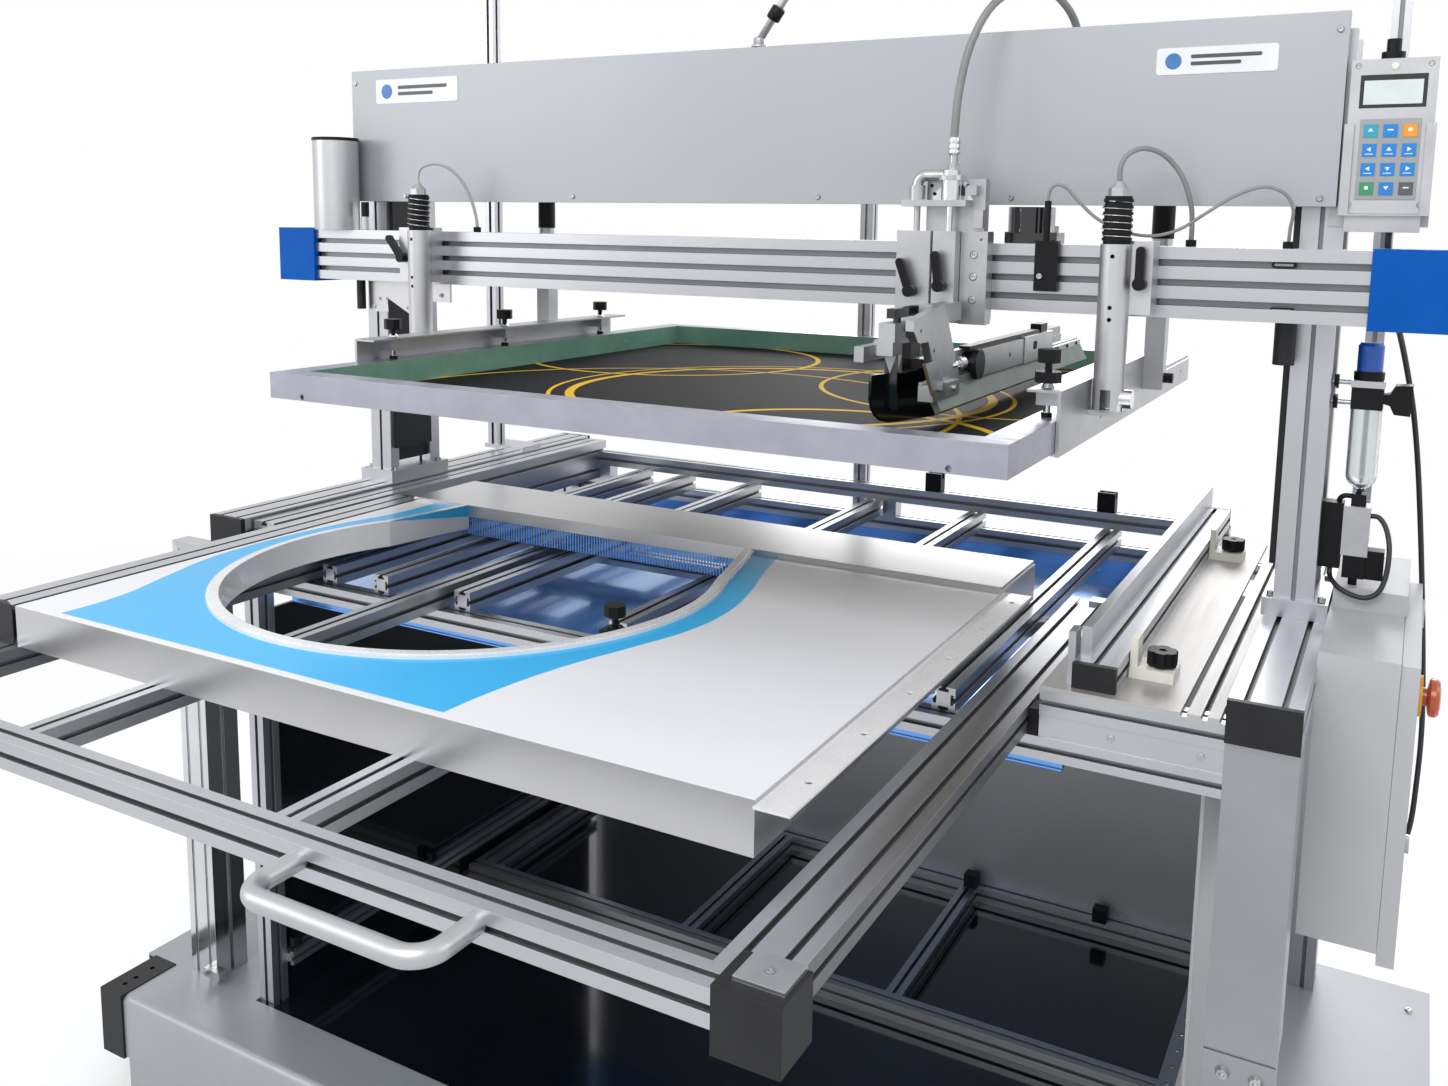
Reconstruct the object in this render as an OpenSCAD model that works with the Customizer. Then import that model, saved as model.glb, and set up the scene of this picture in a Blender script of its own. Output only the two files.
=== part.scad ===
// Flatbed screen printer: a portal machine with a pull-out work table, a lift-down
// print head and a squeegee carriage. Millimetres, +Z up. The origin lies on the
// floor, midway between the two sides, in the plane of the front posts' faces.
// X runs to the machine's right, Y runs to its back.

/* [Stand and table] */
// Half of the width over the two side rails
half_w = 782; // [700:1:900]
// Depth of the table frame from front post to rear rail
depth = 905; // [820:1:1080]
// Height of the side rails' top above the floor
table_z = 950; // [860:1:1060]
// Height of the base's top above the floor
base_z = 175; // [150:1:215]
// Width of the front post and of the side rail over it
post_w = 70; // [60:1:84]
// Side length of the small grooved bars of the table
bar_w = 28; // [25:1:32]

/* [Portal] */
// Distance from the front plane to the columns' front faces
col_y = 322; // [300:1:380]
// Side length of a column profile
col_w = 45; // [40:1:50]
// Height of the top of the columns
col_top = 1640; // [1600:1:1800]
// Height of the cover panel in front of the columns
hood_h = 215; // [180:1:250]

/* [Print head] */
// Height of the print beam's underside
beam_z = 1309; // [1280:1:1360]
// Height of the print beam
beam_h = 83; // [75:1:95]
// Half of the length of the print beam
beam_half = 800; // [740:1:930]
// How far the head comes down to print
head_drop = 205; // [150:1:215]

/* [Screen] */
// Outer width of the screen frame
screen_w = 1023; // [900:1:1100]
// Outer length of the screen frame, front to back
screen_l = 1038; // [900:1:1180]
// Height of the screen frame's tube
screen_h = 35; // [30:1:40]
// Width of the screen frame's tube
screen_t = 35; // [30:1:42]

/* [Squeegee] */
// Distance of the carriage from the machine's middle
carr_x = 320; // [-300:1:335]
// Length of the squeegee and of the flood bar
blade_l = 708; // [580:1:780]
// Thickness of the rubber blade
rubber_t = 8; // [6:0.5:10]

/* [Pull-out table] */
// How far the table stands out in front of the posts
pull_out = 610; // [500:1:660]
// How far the table travels back under the screen
pull_travel = 424; // [300:1:440]
// Width of the two outer rails of the pull-out table
pull_rail = 60; // [50:1:66]
// Diameter of the handle bar
handle_d = 18; // [14:1:22]

/* [Panel blank on the table] */
// Width of the sheet-metal panel that is printed
panel_w = 993; // [800:1:1010]
// Length of the panel, front to back
panel_l = 830; // [700:1:850]
// Height of the panel's folded edge
panel_h = 50; // [40:1:55]
// Radius of the round cut-out in the panel
hole_r = 318; // [240:1:325]

/* [Hidden] */
$fn = 48;
eps = 0.01;
// which sub-part to draw

// heights and places, all from the values above
// the small bars lie on half of the cross rails
seat = bar_w / 2;
bar_h = bar_w + 1;
side_h = 45;
slide_z = table_z - 108;
low_top = slide_z + 26;
bar_top = low_top + bar_h;
pull_z = low_top + 2;
pull_h = 30;
pull_top = pull_z + pull_h;
plate_top = pull_top + 25;
rail_in = half_w - post_w;
front_y = -133;
cap_x = half_w + 98;
base_half = half_w + 168;
foot_x = cap_x - 40;
leg_x = half_w + 3;
col_x = half_w - post_w / 2 - 5;
col_d = 20;
hood_half = col_x + 15;
hood_top = col_top + 15;
hood_z = hood_top - hood_h;
hood_y = col_y - 32;
beam_y = col_y - 80;
beam_d = 60;
beam_back = beam_y + beam_d;
beam_top = beam_z + beam_h;
cap_l = 83;
screen_z = beam_z - 141;
screen_y = -115;
screen_top = screen_z + screen_h;
brace_y = max(depth + 21, screen_y + screen_l + 3);
holder_x = screen_w / 2 + 0.5;
holder_top = screen_top + 33;
tube_r = 18;
tube_x = holder_x + 5 + tube_r;
tube_y = beam_y - 37;
hang_x = holder_x + 4 + 13.5;
hang_y = col_y + 203;
blade_y = screen_y + screen_l - screen_t - 100 - blade_l;
grip_z = screen_top + 20;
sq_x = carr_x + 22;
pull_l = -rail_in + 72;
pull_r = rail_in - 260;
b_in = -rail_in + 363;
c_in = -rail_in + 728;
// left edges of the fixed table bars, set between the pull-out's own bars
bar_x = [-rail_in + 150, -rail_in + 253, -rail_in + 406, -rail_in + 668,
    -rail_in + 868, rail_in - 314];
guide_x = rail_in - 158;
panel_x = pull_l + 57;
panel_y = -pull_out + 170;
panel_top = pull_top + panel_h;
hole_x = panel_x + 370;
hole_y = panel_y + 394.5;
cut_y = panel_l - 151 - 394.5;
cab_x = half_w;
cab_y = 150;
cab_w = 80;
cab_d = 368;
cab_z = slide_z - 202;
cab_h = 325;
duct_h = 25;
estop_y = cab_y + 100;
hinge_d = 10;
estop_z = cab_z + 262;
unit_x = col_x + 61;
unit_y = col_y + 38;
unit_z = cab_z + cab_h + duct_h + 210;
pend_x = hood_half + 5;
pend_y = hood_y + 1;
pend_z = hood_z - 4;

// routes of the cords, points chosen by hand
path_left = [[-535, 205, 1466], [-535, 205, 1480], [-530, 208, 1491], [-514, 218, 1497],
    [-496, 234, 1490], [-484, 252, 1467], [-479, 266, 1438], [-478, 274, 1414],
    [-478, 276, 1400]];
path_right = [[535, 205, 1466], [535, 205, 1482], [541, 210, 1496], [556, 222, 1504],
    [576, 240, 1497], [594, 258, 1474], [604, 270, 1442], [606, 275, 1418],
    [606, 276, 1400]];
path_sensor = [[445, 236, 1444], [446, 236, 1455], [453, 237, 1463], [465, 239, 1460],
    [480, 241, 1444], [502, 243, 1424], [532, 245, 1409], [566, 247, 1404],
    [596, 250, 1412], [624, 254, 1431], [652, 257, 1450], [682, 260, 1461],
    [705, 264, 1454], [715, 268, 1436], [713, 273, 1416], [712, 276, 1400]];
path_hose = [[330, 218, 1504], [330, 218, 1532], [333, 221, 1580], [343, 230, 1636],
    [362, 250, 1682], [388, 280, 1704], [414, 312, 1704], [432, 340, 1684],
    [440, 358, 1658], [441, 362, 1628]];
path_valve = [[778, 354, 1010], [778, 352, 1002], [782, 342, 996], [791, 332, 990],
    [805, 328, 985], [820, 327, 984], [832, 329, 992], [838, 333, 1008],
    [840, 338, 1028], [839, 345, 1048], [834, 354, 1065], [826, 360, 1075],
    [817, 360, 1076]];
path_pendant = [[812, 312, 1412], [812, 313, 1396], [815, 325, 1358], [822, 356, 1322],
    [831, 400, 1290], [841, 442, 1246], [852, 480, 1190], [862, 510, 1120],
    [871, 528, 1040], [880, 535, 950], [888, 536, 860], [894, 535, 770],
    [894, 534, 690], [890, 528, 624], [876, 514, 588], [856, 496, 582],
    [843, 484, 604], [840, 480, 640]];

silver = [0.78, 0.79, 0.80];
steel = [0.62, 0.63, 0.64];
black = [0.11, 0.11, 0.12];
blue = [0.06, 0.41, 0.82];

// grooved profile, drawn flat: nx grooves above and below, ny at the sides
module groove(mouth, depth) {
    translate([-mouth / 2, -depth]) square([mouth, depth + eps]);
    translate([-mouth, -depth]) square([2 * mouth, depth - 2]);
}

module profile(w, h, nx, ny) {
    cell = min(w / max(nx, 1), h / max(ny, 1));
    mouth = min(6, cell / 4);
    deep = min(7, cell / 5);
    difference() {
        square([w, h]);
        for (i = [0 : 1 : nx - 1]) {
            translate([(i + 0.5) * w / nx, h]) groove(mouth, deep);
            translate([(i + 0.5) * w / nx, 0]) rotate(180) groove(mouth, deep);
        }
        for (i = [0 : 1 : ny - 1]) {
            translate([w, (i + 0.5) * h / ny]) rotate(-90) groove(mouth, deep);
            translate([0, (i + 0.5) * h / ny]) rotate(90) groove(mouth, deep);
        }
    }
}

// profile along X, w measured along Y
module bar_along_x(x0, x1, y, z, w, h, nx = 1, ny = 1) {
    translate([x0, y, z]) rotate([90, 0, 90])
        linear_extrude(x1 - x0) profile(w, h, nx, ny);
}

// profile along Y, w measured along X
module bar_along_y(x, y0, y1, z, w, h, nx = 1, ny = 1) {
    translate([x, y1, z]) rotate([90, 0, 0])
        linear_extrude(y1 - y0) profile(w, h, nx, ny);
}

// upright profile, w along X and d along Y
module bar_up(x, y, z0, z1, w, d, nx = 1, ny = 1) {
    translate([x, y, z0]) linear_extrude(z1 - z0) profile(w, d, nx, ny);
}

// plain box from corner to corner
module box(x0, x1, y0, y1, z0, z1) {
    translate([x0, y0, z0]) cube([x1 - x0, y1 - y0, z1 - z0]);
}

// the same child at the right side and mirrored at the left
module both_sides() {
    children();
    mirror([1, 0, 0]) children();
}

// hollow beam along X with a rounded upper front edge
module skin_beam(x0, x1, y0, y1, z0, z1, r) {
    translate([x0, 0, 0]) rotate([90, 0, 90]) linear_extrude(x1 - x0)
        difference() {
            union() {
                translate([y0 + r, z0]) square([y1 - y0 - r, z1 - z0]);
                translate([y0, z0]) square([r + eps, z1 - z0 - r]);
                translate([y0 + r, z1 - r]) circle(r);
            }
            translate([y0 + r, z0 + 3]) square([y1 - y0 - r - 3, z1 - z0 - 6]);
        }
}

// round bar bent through a right angle, in the plane of the sheet
module elbow(bend, r) {
    rotate_extrude(angle = 90) translate([bend, 0]) circle(r);
}

// tube through given points: a ring of flats stands square to the route at each point
function unit(v) = v / norm(v);
function axis_of(v) = let (m = max([for (q = v) abs(q)]))
    [for (q = v) abs(q) == m ? sign(q) : 0];
function tangent(p, i) = i == 0 ? axis_of(p[1] - p[0])
    : i == len(p) - 1 ? axis_of(p[i] - p[i - 1]) : unit(p[i + 1] - p[i - 1]);
function curve(p, t, i) = let (n = len(p),
    a = p[max(i - 1, 0)], b = p[i], c = p[min(i + 1, n - 1)], d = p[min(i + 2, n - 1)])
    0.5 * (2 * b + (c - a) * t + (2 * a - 5 * b + 4 * c - d) * t * t
    + (3 * b - a - 3 * c + d) * t * t * t);
function route(p, k) = [for (i = [0 : len(p) - 2]) for (j = [0 : k - 1]) curve(p, j / k, i),
    p[len(p) - 1]];
function first_side(t) = unit(cross(t, abs(t[2]) > 0.8 ? [0, 1, 0] : [0, 0, 1]));
function carried(u, t) = unit(u - (u * t) * t);
function sides_along(p) = let (n = len(p)) [for (i = 0, u = first_side(tangent(p, 0)); i < n;
    i = i + 1, u = i < n ? carried(u, tangent(p, i)) : u) u];
module tube(p, d, sides = 8) {
    n = len(p);
    across = sides_along(p);
    pts = [for (i = [0 : n - 1]) let (u = across[i], v = cross(tangent(p, i), u))
        for (k = [0 : sides - 1]) p[i] + d / 2 * (cos(k * 360 / sides) * u
        + sin(k * 360 / sides) * v)];
    walls = [for (i = [0 : n - 2]) for (k = [0 : sides - 1])
        [i * sides + k, (i + 1) * sides + k, (i + 1) * sides + (k + 1) % sides,
        i * sides + (k + 1) % sides]];
    ends = [[for (k = [0 : sides - 1]) k],
        [for (k = [sides - 1 : -1 : 0]) (n - 1) * sides + k]];
    polyhedron(points = pts, faces = concat(walls, ends), convexity = 10);
}

// Stand

module base() {
    color(silver) {
        skin_beam(-cap_x, cap_x, front_y, -35, 70, base_z, 12);
        bar_along_x(-cap_x, cap_x, depth - 30, 70, 60, base_z - 73, 1, 1);
        both_sides() {
            box(rail_in - 20, half_w + 10, -35, depth - 30, 70, base_z - 3);
            box(cap_x + 10, base_half, -8, depth + 30, 70, base_z - 3);
            box(half_w + 10, cap_x + 10, 400, 460, 70, base_z - 3);
            box(half_w + 10, cap_x + 10, depth - 90, depth - 30, 70, base_z - 3);
        }
        // plinth panels with a seam below the front beam
        for (s = [-1, 1])
            box(s * cap_x / 2 - cap_x / 2 + 2, s * cap_x / 2 + cap_x / 2 - 2,
                front_y + 4, front_y + 40, 16, 70);
        // middle bearer below the floor panels
        box(-30, 30, -35, depth - 30, 70, base_z - 6);
        // levelling feet
        for (p = [[-foot_x, front_y + 60], [foot_x, front_y + 60], [0, 0],
            [-foot_x, depth], [foot_x, depth], [0, depth]])
            translate([p[0], p[1], 0]) {
                cylinder(d = 46, h = 10);
                translate([0, 0, 10]) cylinder(d = 14, h = 60);
            }
    }
    // top sheets at both sides
    color(steel) both_sides() difference() {
        box(rail_in - 22, base_half, -35, depth + 30, base_z - 3, base_z);
        for (y = [130, 560, depth - 40])
            translate([base_half - 30, y, base_z - 4]) cylinder(d = 6.4, h = 5);
    }
}

module end_caps() {
    color(black) {
        both_sides() {
            difference() {
                box(cap_x, cap_x + 51, front_y - 4, -35, 68, base_z + 2);
                for (y = [-112, -92, -62])
                    translate([cap_x + 24, y, base_z - 8]) cylinder(d = 8, h = 12);
            }
            box(cap_x + 9, base_half + 1, -34, -8, base_z - 34, base_z - 3);
            box(rail_in, half_w, -8, 0, table_z - side_h, table_z);
            box(rail_in, half_w, depth, depth + 8, table_z - side_h, table_z);
        }
        box(guide_x, guide_x + 46, 12, 20, plate_top, plate_top + 28);
        box(guide_x, guide_x + 46, depth - 25, depth - 17, plate_top, plate_top + 28);
    }
}

module posts() {
    color(silver) {
        // right front post: upper skin, lower post and joint plate
        box(rail_in, half_w, 0, 60, base_z + 397, table_z - side_h);
        box(rail_in + 2, half_w - 2, 3, 60, base_z, base_z + 397);
        box(rail_in, half_w, 0, 3, base_z + 318, base_z + 394);
        // left support leg, polished, with its head plate under the side rail
        bar_up(-leg_x - 60, -30, base_z, table_z - side_h - 12, 60, 60, 2, 1);
        box(-leg_x - 60, -rail_in + 62, -30, 0, table_z - side_h - 12,
            table_z - side_h);
        box(-half_w, -rail_in, 0, 40, table_z - side_h - 12, table_z - side_h);
        bar_up(-rail_in + 28, -30, base_z - 3, table_z - side_h - 12, 30, 30);
        both_sides()
            bar_up(rail_in, depth - 60, base_z, table_z - side_h, post_w, 60, 2, 1);
    }
}

module side_rails() {
    color(silver) both_sides()
        bar_along_y(rail_in, 0, depth, table_z - side_h, post_w, side_h, 2, 1);
}

module table_rails() {
    color(silver) {
        // two low cross rails under everything
        bar_along_x(-rail_in, rail_in, 0, slide_z, bar_w, 26);
        bar_along_x(-rail_in, rail_in, depth - bar_w, slide_z, bar_w, 26);
        // high rear rail on two risers
        bar_along_x(-rail_in + 48, guide_x + 46, depth - bar_w, plate_top - bar_w,
            bar_w, bar_w);
        for (x = [-rail_in + 52, guide_x - 20, -rail_in + 700])
            box(x, x + 26, depth - bar_w, depth, low_top, plate_top - bar_w);
        // left inner rail beside the pull-out
        bar_along_y(-rail_in + 4, seat, depth, low_top, 44, table_z - low_top - 4,
            1, 2);
        // right front edge profile with the strip panel below it
        bar_along_x(guide_x - 30, rail_in, 0, plate_top - 4 - bar_w, bar_w, bar_w);
        box(guide_x - 30, rail_in, 2, 5, low_top, plate_top - 4 - bar_w);
        box(rail_in - 40, rail_in, 5, bar_w, low_top, plate_top - 4 - bar_w);
    }
}

module table_bars() {
    color(silver)
        for (x = bar_x)
            bar_along_y(x, seat, depth - seat, low_top, bar_w, bar_h);
}

module table_plate() {
    color(steel) {
        box(guide_x - 30, rail_in - 44, 0, depth - 115, plate_top - 4, plate_top);
        bar_along_y(rail_in - 38, bar_w, depth - seat, low_top, 32,
            plate_top - low_top - 4, 1, 1);
        box(rail_in - 38, rail_in - 24, 0, depth - 115, plate_top - 4, plate_top);
        box(rail_in - 18, rail_in - 6, 0, depth - 115, plate_top - 4, plate_top);
        // hidden bearer under the plate's inner edge
        box(guide_x - 26, guide_x - 6, bar_w, depth - bar_w, low_top, plate_top - 4);
    }
}

// side guide: grooved rail, fence bar on top of it, front block
module side_guide() {
    color(silver) {
        bar_along_y(guide_x, 20, depth - 25, plate_top, 46, 28);
        box(guide_x + 4, guide_x + 15, 33, depth - 10, plate_top + 28, plate_top + 63);
        box(guide_x - 8, guide_x, 24, 48, plate_top, plate_top + 58);
    }
}

// black runner blocks, bay stops and latches, white guide blocks
module slide_blocks() {
    color(black) {
        // runners beside and below the outer rails
        for (x = [pull_r + pull_rail + 1, pull_l - 11])
            box(x, x + 10, 0, bar_w, low_top, low_top + 30);
        for (x = [pull_r + 10, pull_l + 10])
            translate([x, bar_w + 14, slide_z + 15.5]) rotate([0, 90, 0])
                cylinder(d = 24, h = 40);
        for (x = [pull_r + 6, pull_l + 6, pull_r + 50, pull_l + 50])
            box(x, x + 4, bar_w, bar_w + 18, slide_z + 4, slide_z + 24);
        // latches on the rear rail
        for (x = [guide_x - 170, 70])
            difference() {
                box(x, x + 30, depth - 26, depth - 4, plate_top, plate_top + 34);
                translate([x - 1, depth - 20, plate_top + 24]) cube([32, 10, 12]);
            }
        // stops on the rear rail of the bay
        for (x = [190, 425])
            box(x, x + 24, depth - 76, depth - 54, base_z + 25, base_z + 49);
    }
    color([0.91, 0.90, 0.87])
        for (y = [75, depth - 257]) {
            difference() {
                box(guide_x + 47, guide_x + 94, y, y + 42, plate_top, plate_top + 12);
                translate([guide_x + 78, y + 21, plate_top + 4]) cylinder(d = 9, h = 9);
            }
            box(guide_x + 47, guide_x + 55, y + 4, y + 30, plate_top + 12,
                plate_top + 44);
        }
}

module floor_grid() {
    color(silver) {
        for (y = [depth - 475, depth - 67])
            bar_along_x(-rail_in + 62, rail_in - 107, y, base_z - 3, bar_w, bar_w);
        for (x = [-rail_in + 62, -rail_in + 517, 185])
            bar_along_y(x, depth - 475 + bar_w, depth - 67, base_z - 3, bar_w, bar_w);
        // perforated angle at the right of the bay
        difference() {
            union() {
                box(rail_in - 107, rail_in - 104, depth - 475, depth - 60, base_z - 3,
                    base_z + 25);
                box(rail_in - 104, rail_in - 84, depth - 475, depth - 60, base_z + 22,
                    base_z + 25);
            }
            for (y = [depth - 450 : 42 : depth - 80])
                translate([rail_in - 94, y, base_z + 20]) cylinder(d = 7, h = 8);
        }
        // rail and two hand screws along the left wall
        bar_along_y(-rail_in + 50, 0, depth - 67, base_z + 56, 22, 22);
    }
    color(black)
        for (y = [14, 330])
            translate([-rail_in + 61, y, base_z + 78]) {
                cylinder(d = 7, h = 6);
                translate([0, 0, 6]) cylinder(d = 20, h = 14, $fn = 8);
            }
}

module bay_panels() {
    color([0.07, 0.07, 0.08]) {
        // front floor and the three rear floor panels
        box(-rail_in + 30, rail_in - 22, -35, depth - 475, base_z - 6, base_z - 3);
        box(-rail_in + 90, rail_in - 107, depth - 475 + bar_w, depth - 67, base_z - 6,
            base_z - 3);
        // left wall
        box(-rail_in + 44, -rail_in + 50, 0, depth - 67, base_z - 3, slide_z - 26);
    }
    color([0.55, 0.56, 0.58]) {
        box(-rail_in + 50, rail_in - 22, depth - 67 + bar_w, depth - 67 + bar_w + 4,
            base_z - 3, slide_z - 26);
        box(rail_in - 26, rail_in - 22, 60, depth - 67 + bar_w, base_z - 3,
            slide_z - 26);
    }
}

// glossy blue sheet tray hung under the table bars
module blue_tray() {
    color([0.18, 0.42, 0.85]) {
        box(-rail_in + 50, guide_x - 12, 40, depth - 2, slide_z - 26, slide_z - 24);
        for (y = [42, depth - 22])
            box(-rail_in + 50, guide_x - 12, y, y + 2, slide_z - 24, slide_z);
    }
}

// Portal

// two-leaf hinge on the door's rear edge: height of each, and its halves
module at_hinges() {
    for (z = [cab_z + 24, cab_z + cab_h - 60])
        translate([cab_x + cab_w + 18, cab_y + cab_d - 2, z]) children();
}

module columns() {
    color(silver) {
        both_sides() {
            bar_up(col_x - col_w / 2, col_y, table_z + 22, col_top, col_w, col_d, 1, 0);
            bar_up(col_x - col_w / 2, col_y + 99, table_z + 22, col_top, col_w, 25, 1, 0);
            difference() {
                box(rail_in - 4, half_w - 1, col_y - 10, col_y + 134, table_z,
                    table_z + 22);
                translate([rail_in + 3, col_y - 3, table_z + 14]) cylinder(d = 7, h = 9);
                translate([half_w - 8, col_y - 3, table_z + 14]) cylinder(d = 7, h = 9);
            }
            // spacers that carry the cover
            for (z = [hood_z + 20, hood_top - 30])
                box(col_x - 12, col_x + 6, hood_y + 2, col_y, z, z + 18);
        }
        bar_along_x(-col_x + col_w / 2, col_x - col_w / 2, col_y + 2, col_top - 80, 60,
            60, 1, 1);
    }
    color(black) {
        // covers between the front and rear profiles, and on the inner side
        both_sides() {
            box(col_x - 17, col_x + 17, col_y + col_d, col_y + 99, table_z + 35,
                col_top - 90);
            box(col_x - col_w / 2 - 8, col_x - col_w / 2, col_y + 9, col_y + 95,
                table_z + 60, col_top - 90);
        }
        // socket where the squeegee hose goes in
        translate([441, 362, col_top - 20]) cylinder(d = 18, h = 8);
    }
}

// long cover panel with folded edges
module hood() {
    color([0.70, 0.71, 0.74]) {
        box(-hood_half, hood_half, hood_y, hood_y + 2, hood_z, hood_top);
        box(-hood_half, hood_half, hood_y, hood_y + 20, hood_top - 2, hood_top);
        box(-hood_half, hood_half, hood_y, hood_y + 18, hood_z, hood_z + 2);
        for (s = [-1, 1])
            box(s * (hood_half - 1) - 1, s * (hood_half - 1) + 1, hood_y, hood_y + 20,
                hood_z, hood_top);
    }
}

module mast() {
    color(silver) {
        both_sides() {
            bar_up(half_w + 2, depth - 215, table_z + 8, 1880, 24, 24);
            box(half_w - 67, half_w + 30, depth - 221, depth - 160, table_z, table_z + 8);
        }
        bar_along_x(-half_w - 30, half_w + 30, depth - 215, 1880, 24, 24);
        // slim rear brace behind the screen, tied to the table and to the portal
        bar_up(-95, brace_y, low_top - 23, col_top + 50, 25, 25);
        box(-95, -70, depth, brace_y, low_top - 23, low_top - 3);
        bar_along_y(-95, col_y + 62, brace_y, col_top - 60, 25, 25);
    }
}

module cabinet() {
    color([0.80, 0.81, 0.82]) {
        difference() {
            box(cab_x, cab_x + cab_w, cab_y, cab_y + cab_d, cab_z, cab_z + cab_h);
            box(cab_x + 2, cab_x + cab_w + 1, cab_y + 10, cab_y + cab_d - 10, cab_z + 8,
                cab_z + cab_h - 8);
        }
        box(cab_x + 2, cab_x + 82, col_y + 16, cab_y + cab_d + 12, cab_z + cab_h,
            cab_z + cab_h + duct_h);
        // lower hinge knuckles with their leaves and pins
        at_hinges() {
            cylinder(d = hinge_d, h = 18);
            cylinder(d = 4, h = 35);
            translate([-40, 2, 0]) cube([40, hinge_d / 2 - 2, 18]);
        }
        // mounting plate with contactor row and terminal strip inside
        box(cab_x + 2, cab_x + 6, cab_y + 30, cab_y + cab_d - 30, cab_z + 30,
            cab_z + cab_h - 30);
        for (i = [0 : 4])
            box(cab_x + 6, cab_x + 46, cab_y + 48 + i * 56, cab_y + 90 + i * 56,
                cab_z + 190, cab_z + 260);
        box(cab_x + 6, cab_x + 28, cab_y + 44, cab_y + 320, cab_z + 70, cab_z + 96);
    }
}

module cabinet_door() {
    color([0.80, 0.81, 0.82]) {
        difference() {
            box(cab_x + cab_w + 0.3, cab_x + cab_w + 18, cab_y + 2, cab_y + cab_d - 2,
                cab_z - 14, cab_z + cab_h - 2);
            translate([cab_x + cab_w + 11.5, estop_y, estop_z]) rotate([0, 90, 0])
                cylinder(d = 21, h = 8);
            at_hinges() translate([0, 0, -0.4]) cylinder(d = hinge_d + 1, h = 36.8);
        }
        at_hinges() translate([0, 0, 18.4]) difference() {
            union() {
                cylinder(d = hinge_d, h = 18);
                translate([-hinge_d / 2 - 1, -hinge_d / 2 - 1, 0])
                    cube([hinge_d / 2 + 1, 3, 18]);
            }
            translate([0, 0, -1]) cylinder(d = 4.6, h = 20);
        }
        // quarter-turn lock
        translate([cab_x + cab_w + 18, cab_y + 26, cab_z + 120]) rotate([0, 90, 0])
            cylinder(d = 20, h = 4);
    }
    // collar of the emergency stop
    color([0.91, 0.66, 0.23])
        translate([cab_x + cab_w + 18, estop_y, estop_z]) rotate([0, 90, 0])
            difference() {
                cylinder(d = 46, h = 5);
                translate([0, 0, -1]) cylinder(d = 21, h = 7);
            }
}

// mushroom button on its plunger
module estop_button() {
    color([0.78, 0.22, 0.13])
        translate([cab_x + cab_w + 16, estop_y, estop_z]) rotate([0, 90, 0])
            rotate_extrude() polygon([[0, 0], [10, 0], [10, 11.5], [19, 13], [21.5, 15],
                [21.5, 20], [19, 23.5], [12, 25], [0, 25]]);
}

// Air supply

module air_unit() {
    z = unit_z;
    face = col_x + col_w / 2;
    color(silver) {
        // clamp plate, two screws from the column, valve body
        box(unit_x - 18, unit_x + 18, unit_y - 18, unit_y + 18, z + 31, z + 39);
        for (k = [0, 1])
            translate([face, unit_y, z + 11 + k * 24]) rotate([0, 90, 0])
                cylinder(d = 6, h = unit_x - 16 - face);
        box(unit_x - 15, unit_x + 14, unit_y - 15, unit_y + 17, z - 172, z - 112);
    }
    color(black) {
        translate([unit_x, unit_y, z + 39]) cylinder(d = 33, h = 10);
        difference() {
            box(unit_x - 17, unit_x + 17, unit_y - 16, unit_y + 16, z + 5, z + 31);
            translate([unit_x, unit_y, z + 4]) cylinder(d = 12, h = 10);
        }
        // flat gauge on its neck
        translate([unit_x + 17, unit_y + 13, z + 18]) rotate([90, 0, 0])
            linear_extrude(26)
                polygon([[0, -5], [7, -7], [12, -17], [29, -18], [30, 18], [12, 17],
                    [7, 7], [0, 5]]);
        for (k = [0, 1])
            translate([face + 2, unit_y, z + 11 + k * 24]) rotate([0, 90, 0])
                cylinder(d = 17, h = 5, $fn = 6);
        // valve: plate on the column, hand button, base with nipple, coil
        box(face, unit_x - 15, unit_y - 12, unit_y + 12, z - 190, z - 110);
        box(unit_x - 8, unit_x + 8, unit_y - 8, unit_y + 10, z - 112, z - 98);
        box(unit_x - 12, unit_x + 12, unit_y - 12, unit_y + 14, z - 200, z - 172);
        translate([unit_x, unit_y, z - 210]) cylinder(d = 10, h = 10);
        box(unit_x + 12, unit_x + 32, unit_y - 8, unit_y + 14, z - 200, z - 165);
        // short hose from the bowl's drain to the valve plate
        translate([unit_x, unit_y, z - 94]) cylinder(d = 6, h = 1.7);
        translate([unit_x - 8, unit_y, z - 94]) rotate([-90, 0, 0]) elbow(8, 3);
        translate([unit_x - 13, unit_y, z - 102]) rotate([0, 90, 0])
            cylinder(d = 6, h = 5);
        translate([unit_x - 13, unit_y, z - 110]) rotate([90, 0, 0]) rotate(90)
            elbow(8, 3);
    }
}

module air_bowl() {
    z = unit_z;
    color([0.85, 0.88, 0.9, 0.5]) translate([unit_x, unit_y, z + 5]) rotate([180, 0, 0])
        rotate_extrude() difference() {
            union() {
                square([17, 80]);
                intersection() {
                    translate([0, 80]) circle(17);
                    square([20, 100]);
                }
            }
            translate([0, -1]) square([14.5, 80]);
            intersection() {
                translate([0, 79]) circle(14.5);
                square([20, 100]);
            }
        }
}

module air_knob() {
    z = unit_z;
    color(blue) translate([unit_x, unit_y, z + 49.4]) {
        cylinder(d = 28, h = 30);
        translate([0, 0, 30]) cylinder(d1 = 28, d2 = 22, h = 4);
    }
}

// Hand pendant

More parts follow.
